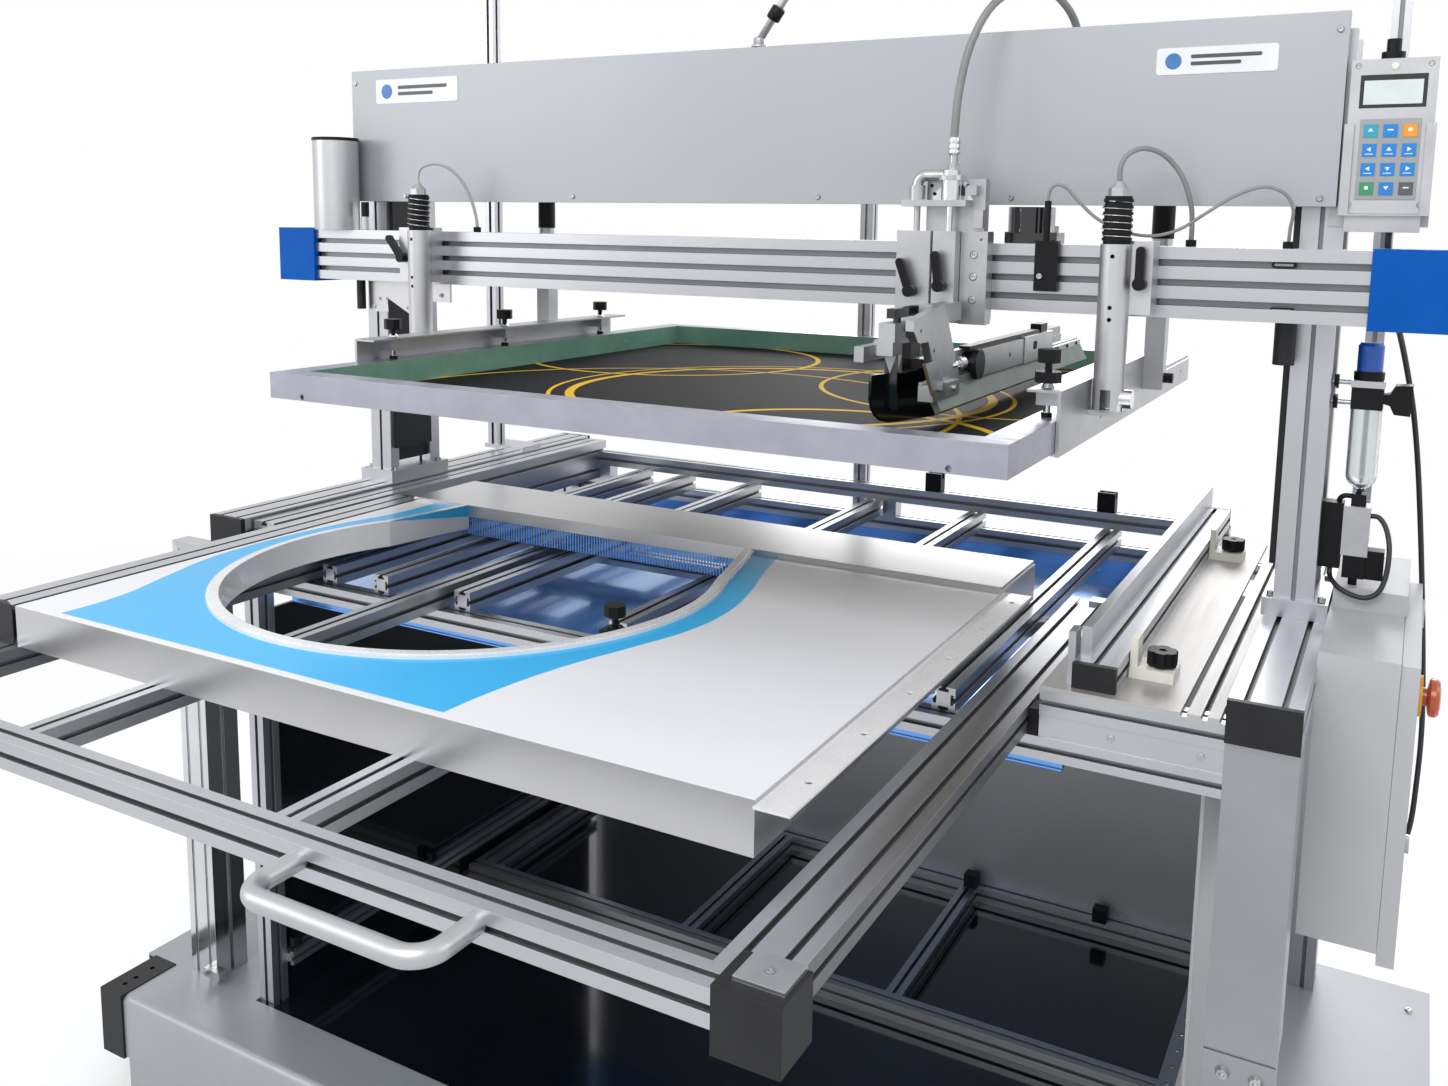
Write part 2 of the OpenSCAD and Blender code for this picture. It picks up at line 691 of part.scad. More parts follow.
module pendant_cradle() {
    color(silver) {
        // back plate, side cheeks and floor of the cradle
        box(col_x + 7, pend_x + 88, col_y - 4, col_y, pend_z - 18, pend_z + 95);
        for (x = [pend_x - 2.5, pend_x + 86])
            box(x, x + 2, pend_y - 1, col_y - 4, pend_z - 4, pend_z + 95);
        box(pend_x - 2.5, pend_x + 88, pend_y - 3, col_y - 4, pend_z - 6, pend_z - 4);
        for (x = [pend_x - 2.5, pend_x + 78])
            box(x, x + 10, pend_y - 3, pend_y - 1, pend_z - 4, pend_z + 95);
        // cable plate below
        box(pend_x + 4, pend_x + 80, pend_y + 4, pend_y + 26, pend_z - 24, pend_z - 6);
    }
}

// case with rim, display window, raised key field and top plug
module pendant() {
    color([0.79, 0.80, 0.81]) difference() {
        union() {
            box(pend_x, pend_x + 85.5, pend_y, pend_y + 24, pend_z - 3.7, pend_z + 165);
            box(pend_x + 13, pend_x + 73, pend_y - 0.9, pend_y, pend_z + 12,
                pend_z + 100);
        }
        box(pend_x + 10, pend_x + 76, pend_y - 1, pend_y + 1.5, pend_z + 112,
            pend_z + 148);
        for (x = [pend_x + 7, pend_x + 78], z = [pend_z + 6, pend_z + 158])
            translate([x, pend_y + 2, z]) rotate([90, 0, 0]) cylinder(d = 6, h = 4);
    }
    color([0.9, 0.93, 0.95])
        box(pend_x + 14, pend_x + 72, pend_y + 0.8, pend_y + 1.5, pend_z + 116,
            pend_z + 142);
    color(blue)
        for (i = [0 : 2], j = [0 : 3])
            box(pend_x + 17 + i * 19.5, pend_x + 31 + i * 19.5, pend_y - 1.7,
                pend_y - 0.9, pend_z + 17 + j * 21, pend_z + 31 + j * 21);
    color(black) translate([pend_x + 40, pend_y + 12, pend_z + 165]) {
        cylinder(d = 24, h = 8);
        translate([0, 0, 8]) cylinder(d = 15, h = 14);
    }
}

// Print head

module print_beam() {
    color(silver) translate([-beam_half, beam_y, beam_z]) rotate([90, 0, 90])
        linear_extrude(2 * beam_half) difference() {
            square([beam_d, beam_h]);
            for (k = [0.224, 0.5, 0.776], s = [0, 1])
                translate([s * beam_d, k * beam_h]) rotate(s == 1 ? -90 : 90)
                    groove(8, 9);
            for (x = [0.3, 0.7]) translate([x * beam_d, beam_h]) groove(6, 7);
            translate([18, 16]) square([beam_d - 36, beam_h - 34]);
        }
}

module beam_caps() {
    color(blue) both_sides() difference() {
        box(beam_half, beam_half + cap_l, beam_y - 6, beam_back + 4, beam_z - 4,
            beam_top + 2);
        translate([beam_half - 1, beam_y + 6, beam_z + 8])
            cube([cap_l - 5, beam_d - 12, beam_h - 16]);
    }
}

// slide plates that run on the column fronts
module lift_slides() {
    color(steel) {
        both_sides() difference() {
            box(col_x - 57, col_x + 24, beam_back, col_y - 0.3, beam_z, beam_top);
            for (x = [-20, 20], z = [20, 60])
                translate([col_x - 12 + x, beam_back + 12, beam_z + z])
                    rotate([-90, 0, 0]) cylinder(d = 8, h = 12);
        }
        // sensor plate under the left end of the beam
        difference() {
            box(-col_x, -col_x + 100, beam_back, beam_back + 4, beam_z - 56, beam_z + 12);
            for (x = [26, 42])
                translate([-col_x + x, beam_back - 1, beam_z - 34]) rotate([-90, 0, 0])
                    cylinder(d = 6, h = 6);
        }
        // bracket of the left screen tube's sensor
        box(-tube_x - 63, -tube_x - 25, beam_back, beam_back + 4, beam_z - 34,
            beam_z + 10);
    }
    color(black) {
        box(-col_x + 44, -col_x + 90, beam_back, beam_back + 14, beam_z - 86,
            beam_z - 40);
        // stop cushions that hang under the beam
        translate([-col_x - 8, beam_back - 10, beam_z - 52]) cylinder(d = 15, h = 52);
        translate([col_x - 28, beam_back - 6, beam_z - 52]) cylinder(d = 24, h = 52);
    }
}

module drive_motor() {
    color(silver) translate([-beam_half + 42, beam_y + 8, beam_top]) {
        cylinder(d = 74, h = 146);
        translate([58, 6, 0]) cylinder(d = 14, h = 22);
    }
    color(black) {
        translate([-beam_half + 42, beam_y + 8, beam_top + 146]) cylinder(d = 76, h = 5);
        translate([-beam_half + 100, beam_y + 14, beam_top + 22]) cylinder(d = 13, h = 24);
        // rounded gear housing behind the carriage, with its chrome plug
        box(carr_x + 62, carr_x + 128, beam_y + 30, beam_back + 8, beam_top,
            beam_top + 14);
        translate([carr_x + 92, beam_back - 16, beam_top + 13]) cylinder(d = 58, h = 32);
    }
    color(silver) translate([carr_x + 121, beam_y + 38, beam_top + 13])
        cylinder(d = 14, h = 9);
}

// upright screen tubes with their clamp blocks on the beam and feet on the holders
module screen_tubes() {
    color(silver) both_sides() difference() {
        union() {
            translate([tube_x, tube_y, holder_top - 36])
                cylinder(r = tube_r, h = beam_top + 2 - holder_top + 36);
            box(holder_x + 4, tube_x + 16, tube_y - 14, tube_y + 14, holder_top - 42,
                holder_top - 36);
            // clamp block between tube and beam
            box(tube_x - 14, tube_x + 42, tube_y, beam_y, beam_z + 4, beam_top + 6);
            // knurled nut at the foot
            translate([tube_x + tube_r - 4, tube_y, holder_top - 22]) rotate([0, 90, 0])
                cylinder(d = 22, h = 14);
        }
        translate([tube_x, tube_y, holder_top - 37])
            cylinder(r = tube_r - 3, h = beam_top - holder_top + 50);
        translate([tube_x - 20, tube_y - 20, beam_top + 2]) cube([40, 37.5, 5]);
        for (z = [beam_top - 12, beam_z + 12, beam_z - 2])
            translate([tube_x, tube_y, z]) rotate([90, 0, 0]) cylinder(d = 5, h = 20);
        translate([tube_x - 6, tube_y - 20, holder_top - 35]) cube([12, 12, 24]);
        for (z = [40, 42])
            translate([tube_x + 30, tube_y - 1, beam_z + z]) rotate([-90, 0, 0])
                cylinder(d = 8, h = 24);
    }
}

// black corrugated sleeves and glands over the tubes, head sensor
module tube_sleeves() {
    color(black) {
        both_sides() {
            difference() {
                translate([tube_x, tube_y, beam_top + 2]) cylinder(r = 15.5, h = 55);
                translate([tube_x, tube_y, beam_top + 12]) cylinder(r = 4.5, h = 50);
            }
            for (i = [0 : 6])
                translate([tube_x, tube_y, beam_top + 6 + i * 7.4])
                    cylinder(r = 17, h = 3.4);
        }
        difference() {
            box(433, 461, beam_y - 12, beam_y, beam_z + 26, beam_top + 4);
            translate([440, beam_y - 13, beam_z + 44]) rotate([-90, 0, 0])
                cylinder(d = 6, h = 5);
        }
        translate([445, beam_y - 6, beam_top + 4]) cylinder(d = 8, h = 48);
        // sockets on the beam's top
        for (x = [-478, 606, 712])
            translate([x, beam_y + 34, beam_top]) cylinder(d = 12, h = 8);
    }
    color([0.93, 0.93, 0.91]) both_sides()
        translate([tube_x, tube_y, beam_top + 57]) {
            cylinder(d = 25, h = 9, $fn = 6);
            translate([0, 0, 9]) cylinder(d1 = 21, d2 = 9, h = 8);
        }
}

module rear_hangers() {
    color(silver) both_sides() {
        box(hang_x - 10, hang_x + 10, beam_back, hang_y - 13, beam_z + 24, beam_z + 58);
        difference() {
            box(hang_x - 13.5, hang_x + 13, hang_y - 13, hang_y + 13, holder_top - 46,
                beam_top - 4);
            box(hang_x - 10, hang_x + 10, hang_y - 10, hang_y + 10, holder_top - 47,
                beam_z + 10);
        }
        translate([hang_x, hang_y, beam_top - 4]) cylinder(d = 27, h = 11);
    }
    color(black) both_sides() {
        translate([hang_x, hang_y, beam_top + 7]) cylinder(d = 30, h = 58);
        translate([hang_x + 13, hang_y, holder_top - 30]) rotate([0, 90, 0])
            cylinder(d = 14, h = 12, $fn = 6);
    }
}

// angle that grips the screen from outside: plate, top lip with nut blocks, lower lip
module holder(y0, y1, lower_y1, knobs) {
    x1 = holder_x + 4;
    difference() {
        union() {
            box(holder_x, x1, y0, y1, screen_z - 5, holder_top);
            box(holder_x - 34, x1, y0, y1, holder_top - 3, holder_top);
            box(holder_x - 30, x1, y0, lower_y1, screen_z - 4.1, screen_z - 1.1);
            for (y = knobs)
                box(holder_x - 28, holder_x, y - 10, y + 10, screen_top + 14,
                    holder_top - 3);
            if (lower_y1 > y1) {
                box(holder_x, x1, y1, lower_y1, screen_z - 5, screen_top - 4);
                translate([holder_x, y1, 0]) rotate([90, 0, 90]) linear_extrude(4)
                    polygon([[0, screen_top - 4], [32, screen_top - 4],
                        [0, holder_top - 8]]);
            }
        }
        for (y = knobs)
            translate([holder_x - 18, y, screen_top + 13]) cylinder(d = 9, h = 40);
    }
}

module holder_left() {
    color(steel) mirror([1, 0, 0]) holder(45, 700, 700, [101, 361, 639]);
}

module holder_right() {
    color(steel) difference() {
        holder(60, 553, 905, [87]);
        for (y = [260, 420, 830])
            translate([holder_x - 1, y, screen_z + 16]) rotate([0, 90, 0])
                cylinder(d = 6, h = 6);
    }
}

// screw with a knob that presses the screen into its holder
module clamp_knob(tall) {
    color(black) {
        translate([0, 0, holder_top + 12 + tall]) cylinder(d = 26, h = 15, $fn = 8);
        if (tall > 1)
            translate([0, 0, holder_top + 6]) cylinder(d = 30, h = 12, $fn = 8);
        translate([0, 0, screen_top + 0.3]) cylinder(d = 12, h = 5.2);
    }
    color(silver) {
        translate([0, 0, screen_top + 5.5]) cylinder(d = 8, h = holder_top - screen_top
            + 7 + tall);
        translate([0, 0, holder_top + 0.4]) cylinder(d1 = 15, d2 = 9, h = 5);
    }
}

module knob_left_1() {
    translate([-holder_x + 18, 101, 0]) clamp_knob(0);
}
module knob_left_2() {
    translate([-holder_x + 18, 361, 0]) clamp_knob(0);
}
module knob_left_3() {
    translate([-holder_x + 18, 639, 0]) clamp_knob(0);
}
module knob_right() {
    translate([holder_x - 18, 87, 0]) clamp_knob(16);
}

// Carriage and blades

module carriage() {
    x = carr_x;
    y = beam_y;
    color(silver) {
        // back plate close in front of the beam, a taller one above it
        box(x - 57, x + 57, y - 16, y - 0.5, beam_z - 18, beam_top + 14);
        box(x - 26, x + 50, y - 16, y - 0.5, beam_top + 14, beam_top + 78);
        // right guide with three socket screws, centre guide
        difference() {
            box(x + 24, x + 58, y - 26, y - 16, beam_z - 18, beam_top + 14);
            for (z = [12, 41, 68])
                translate([x + 41, y - 27, beam_z + z]) rotate([-90, 0, 0])
                    cylinder(d = 10, h = 5);
            translate([x + 50, y - 27, beam_top + 4]) rotate([-90, 0, 0])
                cylinder(d = 4, h = 5);
        }
        box(x - 12, x - 6, y - 30, y - 16, beam_z - 18, beam_top + 14);
        // two air cylinders on a bridge, each with a bore for its rod
        difference() {
            union() {
                box(x - 50, x + 34, y - 44, y - 16, beam_top + 44, beam_top + 52);
                translate([x + 10, y - 30, beam_top + 52]) cylinder(d = 24, h = 24);
                translate([x + 10, y - 30, beam_top + 76]) cylinder(d = 34, h = 6);
                translate([x + 10, y - 30, beam_top + 82]) cylinder(d = 22, h = 6);
                translate([x + 10, y - 24, beam_top + 88])
                    cylinder(d = 15, h = 9, $fn = 6);
                translate([x + 10, y - 24, beam_top + 97]) cylinder(d = 10, h = 15);
                translate([x - 34, y - 30, beam_top + 52]) cylinder(d = 20, h = 18);
            }
            translate([x + 10, y - 32, beam_top + 43]) cylinder(d = 9, h = 43.5);
            translate([x - 34, y - 28, beam_top + 43]) cylinder(d = 9, h = 24);
        }
        // air elbows: one over the left cylinder, one across to the middle
        translate([x - 22, y - 30, beam_top + 70]) rotate([0, 0, 180])
            rotate([90, 0, 0]) elbow(12, 7);
        translate([x - 22, y - 30, beam_top + 82]) rotate([0, 90, 0])
            cylinder(d = 14, h = 24);
        // blocks on the tall plate and roller shoes over and under the beam
        box(x + 30, x + 42, y - 28, y - 16, beam_top + 58, beam_top + 70);
        box(x + 38, x + 50, y - 24, y - 16, beam_top + 18, beam_top + 40);
        box(x - 50, x + 50, y - 0.5, y + 24, beam_top + 0.3, beam_top + 12);
        box(x - 50, x + 50, y - 0.5, y + 24, beam_z - 14, beam_z - 0.3);
    }
}

// slide plate, arm down to the holder bar, the bar and its quick clamps
module squeegee_holder() {
    x = carr_x;
    y = beam_y;
    color([0.88, 0.89, 0.90]) {
        // slide plate with its piston rod, and the bracket in front of it
        box(x - 5.5, x + 23.5, y - 46, y - 16.3, beam_z - 15, beam_top + 14);
        translate([x + 10, y - 32, beam_top + 14]) cylinder(d = 8, h = 60);
        box(x + 14, x + 34, y - 140, y - 44, grip_z + 75, grip_z + 97);
        difference() {
            union() {
                // slanted arm
                translate([sq_x + 10, 0, grip_z]) rotate([90, 0, 90]) linear_extrude(10)
                    polygon([[y - 228, 73], [y - 228, 85], [y - 132, 99],
                        [y - 114, 77], [y - 65, 6], [y - 147, 6], [y - 180, 58],
                        [y - 212, 58]]);
                // foot and small cheek in front of it
                box(sq_x + 10, sq_x + 28, y - 182, y - 89, grip_z - 11, grip_z + 7);
                translate([sq_x + 26, 0, grip_z]) rotate([90, 0, 90]) linear_extrude(4)
                    polygon([[y - 215, 36], [y - 174, 36], [y - 138, -7], [y - 180, -7]]);
                // clamp bar over the rubber and the box profile on it
                box(sq_x + 2, sq_x + 20, blade_y + 3, blade_y + blade_l - 2,
                    grip_z - 2, grip_z + 8);
                box(sq_x, sq_x + 24, y - 4, y + 341, grip_z, grip_z + 34);
                box(sq_x - 1.5, sq_x + 25.5, y + 198, y + 349, grip_z - 1, grip_z + 36);
                box(sq_x + 4, sq_x + 12, y - 92, y - 20, grip_z + 6, grip_z + 38);
                translate([sq_x + 16, y - 92, grip_z + 22]) rotate([-90, 0, 0])
                    cylinder(d = 10, h = 76);
            }
            rubber();
            // oval slot and a bore in the box profile
            for (k = [-5, 5])
                translate([sq_x + 20, y + 251 + k, grip_z + 21]) rotate([0, 90, 0])
                    cylinder(d = 12, h = 8);
            box(sq_x + 20, sq_x + 28, y + 246, y + 256, grip_z + 15, grip_z + 27);
            translate([sq_x + 20, y + 132, grip_z + 17]) rotate([0, 90, 0])
                cylinder(d = 7, h = 8);
            // bores of the arm and of the slide
            for (k = [[-205, 72], [-160, 46]])
                translate([sq_x + 16, y + k[0], grip_z + k[1]]) rotate([0, 90, 0])
                    cylinder(d = 5, h = 8);
        }
        // knurled screw in front of the joint
        translate([sq_x + 16, y - 64, grip_z + 22]) rotate([-90, 0, 0])
            cylinder(d = 17, h = 16);
    }
    color(black) {
        // rounded end of the box profile, flat spring on its top, adjusting screws
        difference() {
            translate([sq_x - 1, y - 6, grip_z + 17]) rotate([0, 90, 0])
                cylinder(d = 38, h = 28);
            rubber();
        }
        box(sq_x + 6, sq_x + 20, y - 30, y + 290, grip_z + 34, grip_z + 41);
        translate([sq_x + 30, y - 168, grip_z + 6]) rotate([0, 90, 0])
            cylinder(d = 13, h = 6, $fn = 6);
        translate([sq_x + 28, y - 108, grip_z - 2]) rotate([0, 90, 0])
            cylinder(d = 8, h = 3);
        box(sq_x + 10, sq_x + 20, y - 236, y - 206, grip_z + 44, grip_z + 60);
        box(sq_x + 4, sq_x + 20, y + 300, y + 334, grip_z + 35, grip_z + 48);
    }
}

// rubber strip set in a slanted slot of the holder bar
module rubber() {
    translate([sq_x + 6, blade_y, grip_z]) rotate([0, -28, 0])
        translate([4, 0, -33]) cube([rubber_t, blade_l, 38]);
}

module squeegee_blade() {
    color([0.42, 0.50, 0.48]) rubber();
}

// slide plate, arm and winged flood blade
module flood_bar() {
    x = carr_x;
    y = beam_y;
    z = screen_top;
    color([0.88, 0.89, 0.90]) {
        // slide plate with its piston rod, arm forward from its lower end
        box(x - 57, x - 12.5, y - 36, y - 16.3, beam_z - 20, beam_top + 14);
        translate([x - 34, y - 28, beam_top + 14]) cylinder(d = 8, h = 36);
        box(x - 28, x - 13, y - 140, y - 17, z + 69, z + 89);
        // adjusting block on its shelf, short bar to the front
        box(x - 12, x + 8, y - 198, y - 138, z + 75, z + 98);
        box(x - 24, x + 8, y - 182, y - 85, z + 61, z + 77);
        box(x - 12, x + 8, y - 203, y - 182, z + 61, z + 77);
        box(x - 35, x - 23, y - 214, y - 118, z + 53, z + 71);
        // strap down to the wing
        translate([0, y - 145, 0]) rotate([90, 0, 0]) linear_extrude(4)
            polygon([[x - 23, z + 64], [x - 7, z + 64], [x - 7, z - 8], [x - 11, z - 12],
                [x - 23, z + 4]]);
        box(x - 20, x - 2, y - 147, y - 88, z + 36, z + 62);
    }
    color(black) {
        // T handle on its screw, set screws of the block
        box(x - 2, x + 8, y - 200, y - 64, z + 104, z + 115);
        translate([x + 3, y - 180, z + 97]) cylinder(d = 9, h = 8);
        for (k = [[-160, 90], [-152, 82]])
            translate([x + 8, y + k[0], z + k[1]]) rotate([0, 90, 0])
                cylinder(d = 8, h = 3);
        // holder bar and flood blade with its bent, rounded front wing
        box(x - 8, x + 8, y - 92, blade_y + blade_l, z + 19, z + 48);
        intersection() {
            translate([0, 0, screen_z + 10]) linear_extrude(60)
                polygon([[x - 30, y - 180], [x + 6, y - 62], [x + 6, blade_y + blade_l],
                    [x + 10, blade_y + blade_l], [x + 10, y - 63], [x - 26, y - 181]]);
            difference() {
                box(x - 60, x + 20, y - 190, blade_y + blade_l + 1, screen_z + 9,
                    screen_z + 72);
                difference() {
                    box(x - 61, x + 21, y - 191, y - 144, screen_z + 8, screen_z + 46);
                    translate([x - 62, y - 144, screen_z + 46]) rotate([0, 90, 0])
                        cylinder(r = 36, h = 84);
                }
            }
        }
    }
}

// Hand levers

// clamp lever: hub toward the front, arm leaning up and to the left
module clamp_lever(lean) {
    color(black) {
        rotate([90, 0, 0]) cylinder(d = 15, h = 14);
        rotate([0, lean, 0]) {
            translate([-5, -13, 0]) cube([10, 8, 38]);
            translate([0, -5, 38]) rotate([90, 0, 0]) cylinder(d = 10, h = 8);
        }
    }
    color(silver) translate([0, 3, 0]) rotate([90, 0, 0]) cylinder(d = 7, h = 3);
}

module lever_flood() {
    translate([carr_x - 34, beam_y - 39.3, beam_z + 22]) clamp_lever(-20);
}
module lever_squeegee() {
    translate([carr_x + 8, beam_y - 49.3, beam_z + 30]) clamp_lever(-8);
}
module lever_tube_left() {
    translate([-tube_x - 30, tube_y - 0.3, beam_z + 42]) clamp_lever(-39);
}
module lever_tube_right() {
    translate([tube_x + 30, tube_y - 0.3, beam_z + 40]) clamp_lever(0);
}

// Screen

module screen_frame() {
    color([0.74, 0.73, 0.78]) difference() {
        translate([-screen_w / 2, screen_y, screen_z])
            cube([screen_w, screen_l, screen_h]);
        translate([-screen_w / 2 + screen_t, screen_y + screen_t, screen_z - 1])
            cube([screen_w - 2 * screen_t, screen_l - 2 * screen_t, screen_h + 2]);
        // open ends of the corner welds
        for (x = [-screen_w / 2 + 60, screen_w / 2 - 60])
            translate([x, screen_y - 1, screen_z + 5]) rotate([-90, 0, 0])
                cylinder(d = 7, h = 8);
    }
}

module screen_mesh() {
    color([0.23, 0.23, 0.24])
        translate([-screen_w / 2 + 8, screen_y + 8, screen_z - 0.8])
            cube([screen_w - 16, screen_l - 16, 0.8]);
}

// Pull-out table

module pull_frame() {
    y0 = -pull_out;
    y1 = y0 + 1040;
    color(silver) {
        difference() {
            union() {
                bar_along_x(pull_l, pull_r + 16, y0, pull_z, 30, pull_h);
                for (x = [pull_l, pull_r])
                    bar_along_y(x, y0 + 30, y1, pull_z, pull_rail, pull_h, 2, 1);
            }
            box(pull_r + 16, pull_r + 90, y0 - 5, y0 + 46, pull_z - 30, pull_top + 6);
            box(pull_l - 20, pull_l + 34, y0 - 5, y0 + 46, pull_z - 30, pull_top + 6);
        }
        for (x = [b_in, c_in])
            bar_along_y(x, y0 + 30, y1, pull_z, bar_w, pull_h);
        // rear tie that runs below the fixed bars
        bar_along_x(pull_l, pull_r + pull_rail, y1 - bar_w, low_top - 27.5, bar_w, 25.5);
        for (x = [pull_l, b_in, c_in, pull_r])
            box(x, x + bar_w, y1 - bar_w, y1, low_top - 2, pull_z);
        // corner fitting at the far right end
        box(pull_r + 30, pull_r + pull_rail, y1 - 24, y1, pull_top, pull_top + 5);
    }
    // clamp bracket on the middle bar: foot on the bar, slotted ear in front of it
    color(black) translate([c_in - 14, hole_y + 6, pull_top]) {
        difference() {
            box(-16, 30, -12, 12, 5, 9);
            translate([0, 0, 0]) cylinder(d = 9, h = 12);
        }
        box(16, 32, -12, 12, 0, 5);
        box(-16, -12, -12, 12, -18, 5);
    }
    // corner blocks with a cover plate and screw
    color(black) {
        box(pull_r + 16, pull_r + 70, y0 - 2, y0 + 46, pull_z - 17, pull_top + 5);
        box(pull_l - 10, pull_l + 34, y0 - 2, y0 + 46, pull_z - 17, pull_top + 5);
    }
    color(steel)
        for (x = [pull_r + 26, pull_l - 6])
            difference() {
                box(x, x + 40, y0 + 10, y0 + 46, pull_top + 5, pull_top + 8);
                translate([x + 20, y0 + 28, pull_top + 7]) cylinder(d = 8, h = 2);
            }
}

module pull_handle() {
    y0 = -pull_out;
    x0 = c_in + 60;
    span = 188;
    z = pull_z + 17;
    bend = 24;
    reach = 60;
    r = handle_d / 2;
    color([0.80, 0.80, 0.80]) {
        for (x = [x0, x0 + span])
            translate([x, y0, z]) rotate([90, 0, 0]) cylinder(r = r, h = reach - bend);
        translate([x0 + bend, y0 - reach, z]) rotate([0, 90, 0])
            cylinder(r = r, h = span - 2 * bend);
        translate([x0 + bend, y0 - reach + bend, z]) rotate([0, 0, 180]) elbow(bend, r);
        translate([x0 + span - bend, y0 - reach + bend, z]) rotate([0, 0, 270])
            elbow(bend, r);
    }
}

// raised rail at the left of the pull-out, the panel lies against it
module stop_rail() {
    y0 = -pull_out + 178;
    color(silver)
        bar_along_y(pull_l, y0, y0 + 682, pull_top, 50, panel_h, 1, 1);
    color(black) {
        box(pull_l, pull_l + 50, y0 - 8, y0, pull_top, panel_top);
        box(pull_l, pull_l + 50, y0 + 682, y0 + 690, pull_top, panel_top);
    }
}

// hand screw on the bracket of the pull-out's middle bar, seen through the cut-out
module table_clamp() {
    translate([c_in - 14, hole_y + 6, pull_top]) {
        color(black) {
            translate([0, 0, 26]) cylinder(d = 28, h = 14, $fn = 8);
            translate([0, 0, 9.3]) cylinder(d = 20, h = 3);
        }
        color(silver) translate([0, 0, 1]) cylinder(d = 8, h = 26);
    }
}

// folded sheet panel with round cut-out, rolled rim, rear band and side strip
// outline of the cut-out, drawn flat: a circle whose sides run on to the rear band
module opening(r) {
    difference() {
        union() {
            circle(r, $fn = 96);
            polygon([[0, 0], [r * 0.96, r * 0.255], [r - 68, cut_y], [57 - r, cut_y],
                [-r * 0.91, r * 0.396]]);
        }
        translate([-500, cut_y]) square([1000, 400]);
    }
}

module panel_blank() {
    t = 2;
    x1 = panel_x + panel_w;
    y1 = panel_y + panel_l;
    color([0.88, 0.89, 0.92]) difference() {
        union() {
            box(panel_x, x1, panel_y, y1, panel_top - t, panel_top);
            box(panel_x, x1, panel_y, panel_y + t, pull_top, panel_top);
            box(panel_x, x1, y1 - t, y1, pull_top, panel_top);
            box(panel_x, panel_x + t, panel_y, y1, pull_top, panel_top);
            box(x1 - t, x1, panel_y, y1, pull_top, panel_top);
            // rear band and its fold down into the cut-out
            box(panel_x - 6, x1 - 2, y1 - 151, y1, panel_top, panel_top + 5);
            box(hole_x - hole_r + 40, hole_x + hole_r - 52, y1 - 151, y1 - 149,
                panel_top - 14, panel_top);
        }
        translate([hole_x, hole_y, panel_top - 3]) linear_extrude(4) opening(hole_r);
    }
    // rim of the cut-out: bead and inner wall
    color([0.93, 0.93, 0.94]) translate([hole_x, hole_y, panel_top]) difference() {
        union() {
            translate([0, 0, -34]) linear_extrude(36) opening(hole_r + 1);
            linear_extrude(3.5) opening(hole_r + 13);
            linear_extrude(5) opening(hole_r + 9);
        }
        translate([0, 0, -35]) linear_extrude(42) opening(hole_r - 2);
    }
    // narrow strip with holes along the right edge
    color(silver) difference() {
        box(x1, x1 + 34, panel_y - 4, panel_y + 690, panel_top - 6, panel_top - 4);
        for (i = [0 : 5])
            translate([x1 + 20, panel_y + 60 + i * 118, panel_top - 7])
                cylinder(d = 7, h = 4);
    }
}

// star knob with a stud
module star() {
    color(black) difference() {
        translate([0, 0, 10]) cylinder(d = 32, h = 16);
        for (k = [0 : 5])
            rotate(k * 60) translate([18.5, 0, 9]) cylinder(d = 9, h = 18, $fn = 24);
        translate([0, 0, 22]) cylinder(d = 9, h = 5, $fn = 6);
    }
    color(silver) cylinder(d = 8, h = 10);
}

module star_knob_1() {
    translate([guide_x + 78, 96, plate_top + 4.5]) star();
}
module star_knob_2() {
    translate([guide_x + 78, depth - 236, plate_top + 4.5]) star();
}

// Screws

module button_screw(d) {
    difference() {
        cylinder(d1 = d, d2 = d * 0.7, h = d * 0.35);
        translate([0, 0, d * 0.15]) cylinder(d = d * 0.4, h = d, $fn = 6);
    }
}

module fasteners() {
    color([0.75, 0.75, 0.76]) {
        // cover screws
        for (x = [-1, -0.855, -0.81, -0.4, 0.15, 0.43, 0.51, 0.985])
            translate([x * (hood_half - 6), hood_y, hood_z + 9]) rotate([90, 0, 0])
                button_screw(8);
        for (x = [-1, 1])
            translate([x * (hood_half - 9), hood_y, hood_top - 20]) rotate([90, 0, 0])
                button_screw(8);
        // large screws in the post's joint plate
        for (x = [rail_in + 20, half_w - 18], z = [base_z + 338, base_z + 374])
            translate([x, 0, z]) rotate([90, 0, 0]) button_screw(15);
        // cleat at the support leg's foot
        translate([-leg_x - 2, -32, base_z + 24]) rotate([90, 0, 0]) cylinder(d = 9, h = 20);
        translate([-leg_x - 2, -30, base_z]) translate([-10, -16, 14]) cube([36, 16, 14]);
        // base sheet screws
        both_sides()
            for (y = [130, 560, depth - 40])
                translate([base_half - 30, y, base_z]) button_screw(12);
    }
}

// Cords

module cable_left() {
    color([0.85, 0.85, 0.84]) tube(route(path_left, 2), 5);
}

module cable_right() {
    color([0.62, 0.62, 0.62]) tube(route(path_right, 2), 6);
}

module sensor_cable() {
    color([0.62, 0.62, 0.62]) tube(route(path_sensor, 1), 4);
}

module squeegee_hose() {
    color([0.60, 0.60, 0.60]) tube(route(path_hose, 2), 10, 10);
}

module valve_hose() {
    color(black) tube(route(path_valve, 1), 6);
}

module pendant_cable() {
    color(black) tube(route(path_pendant, 2), 7);
}

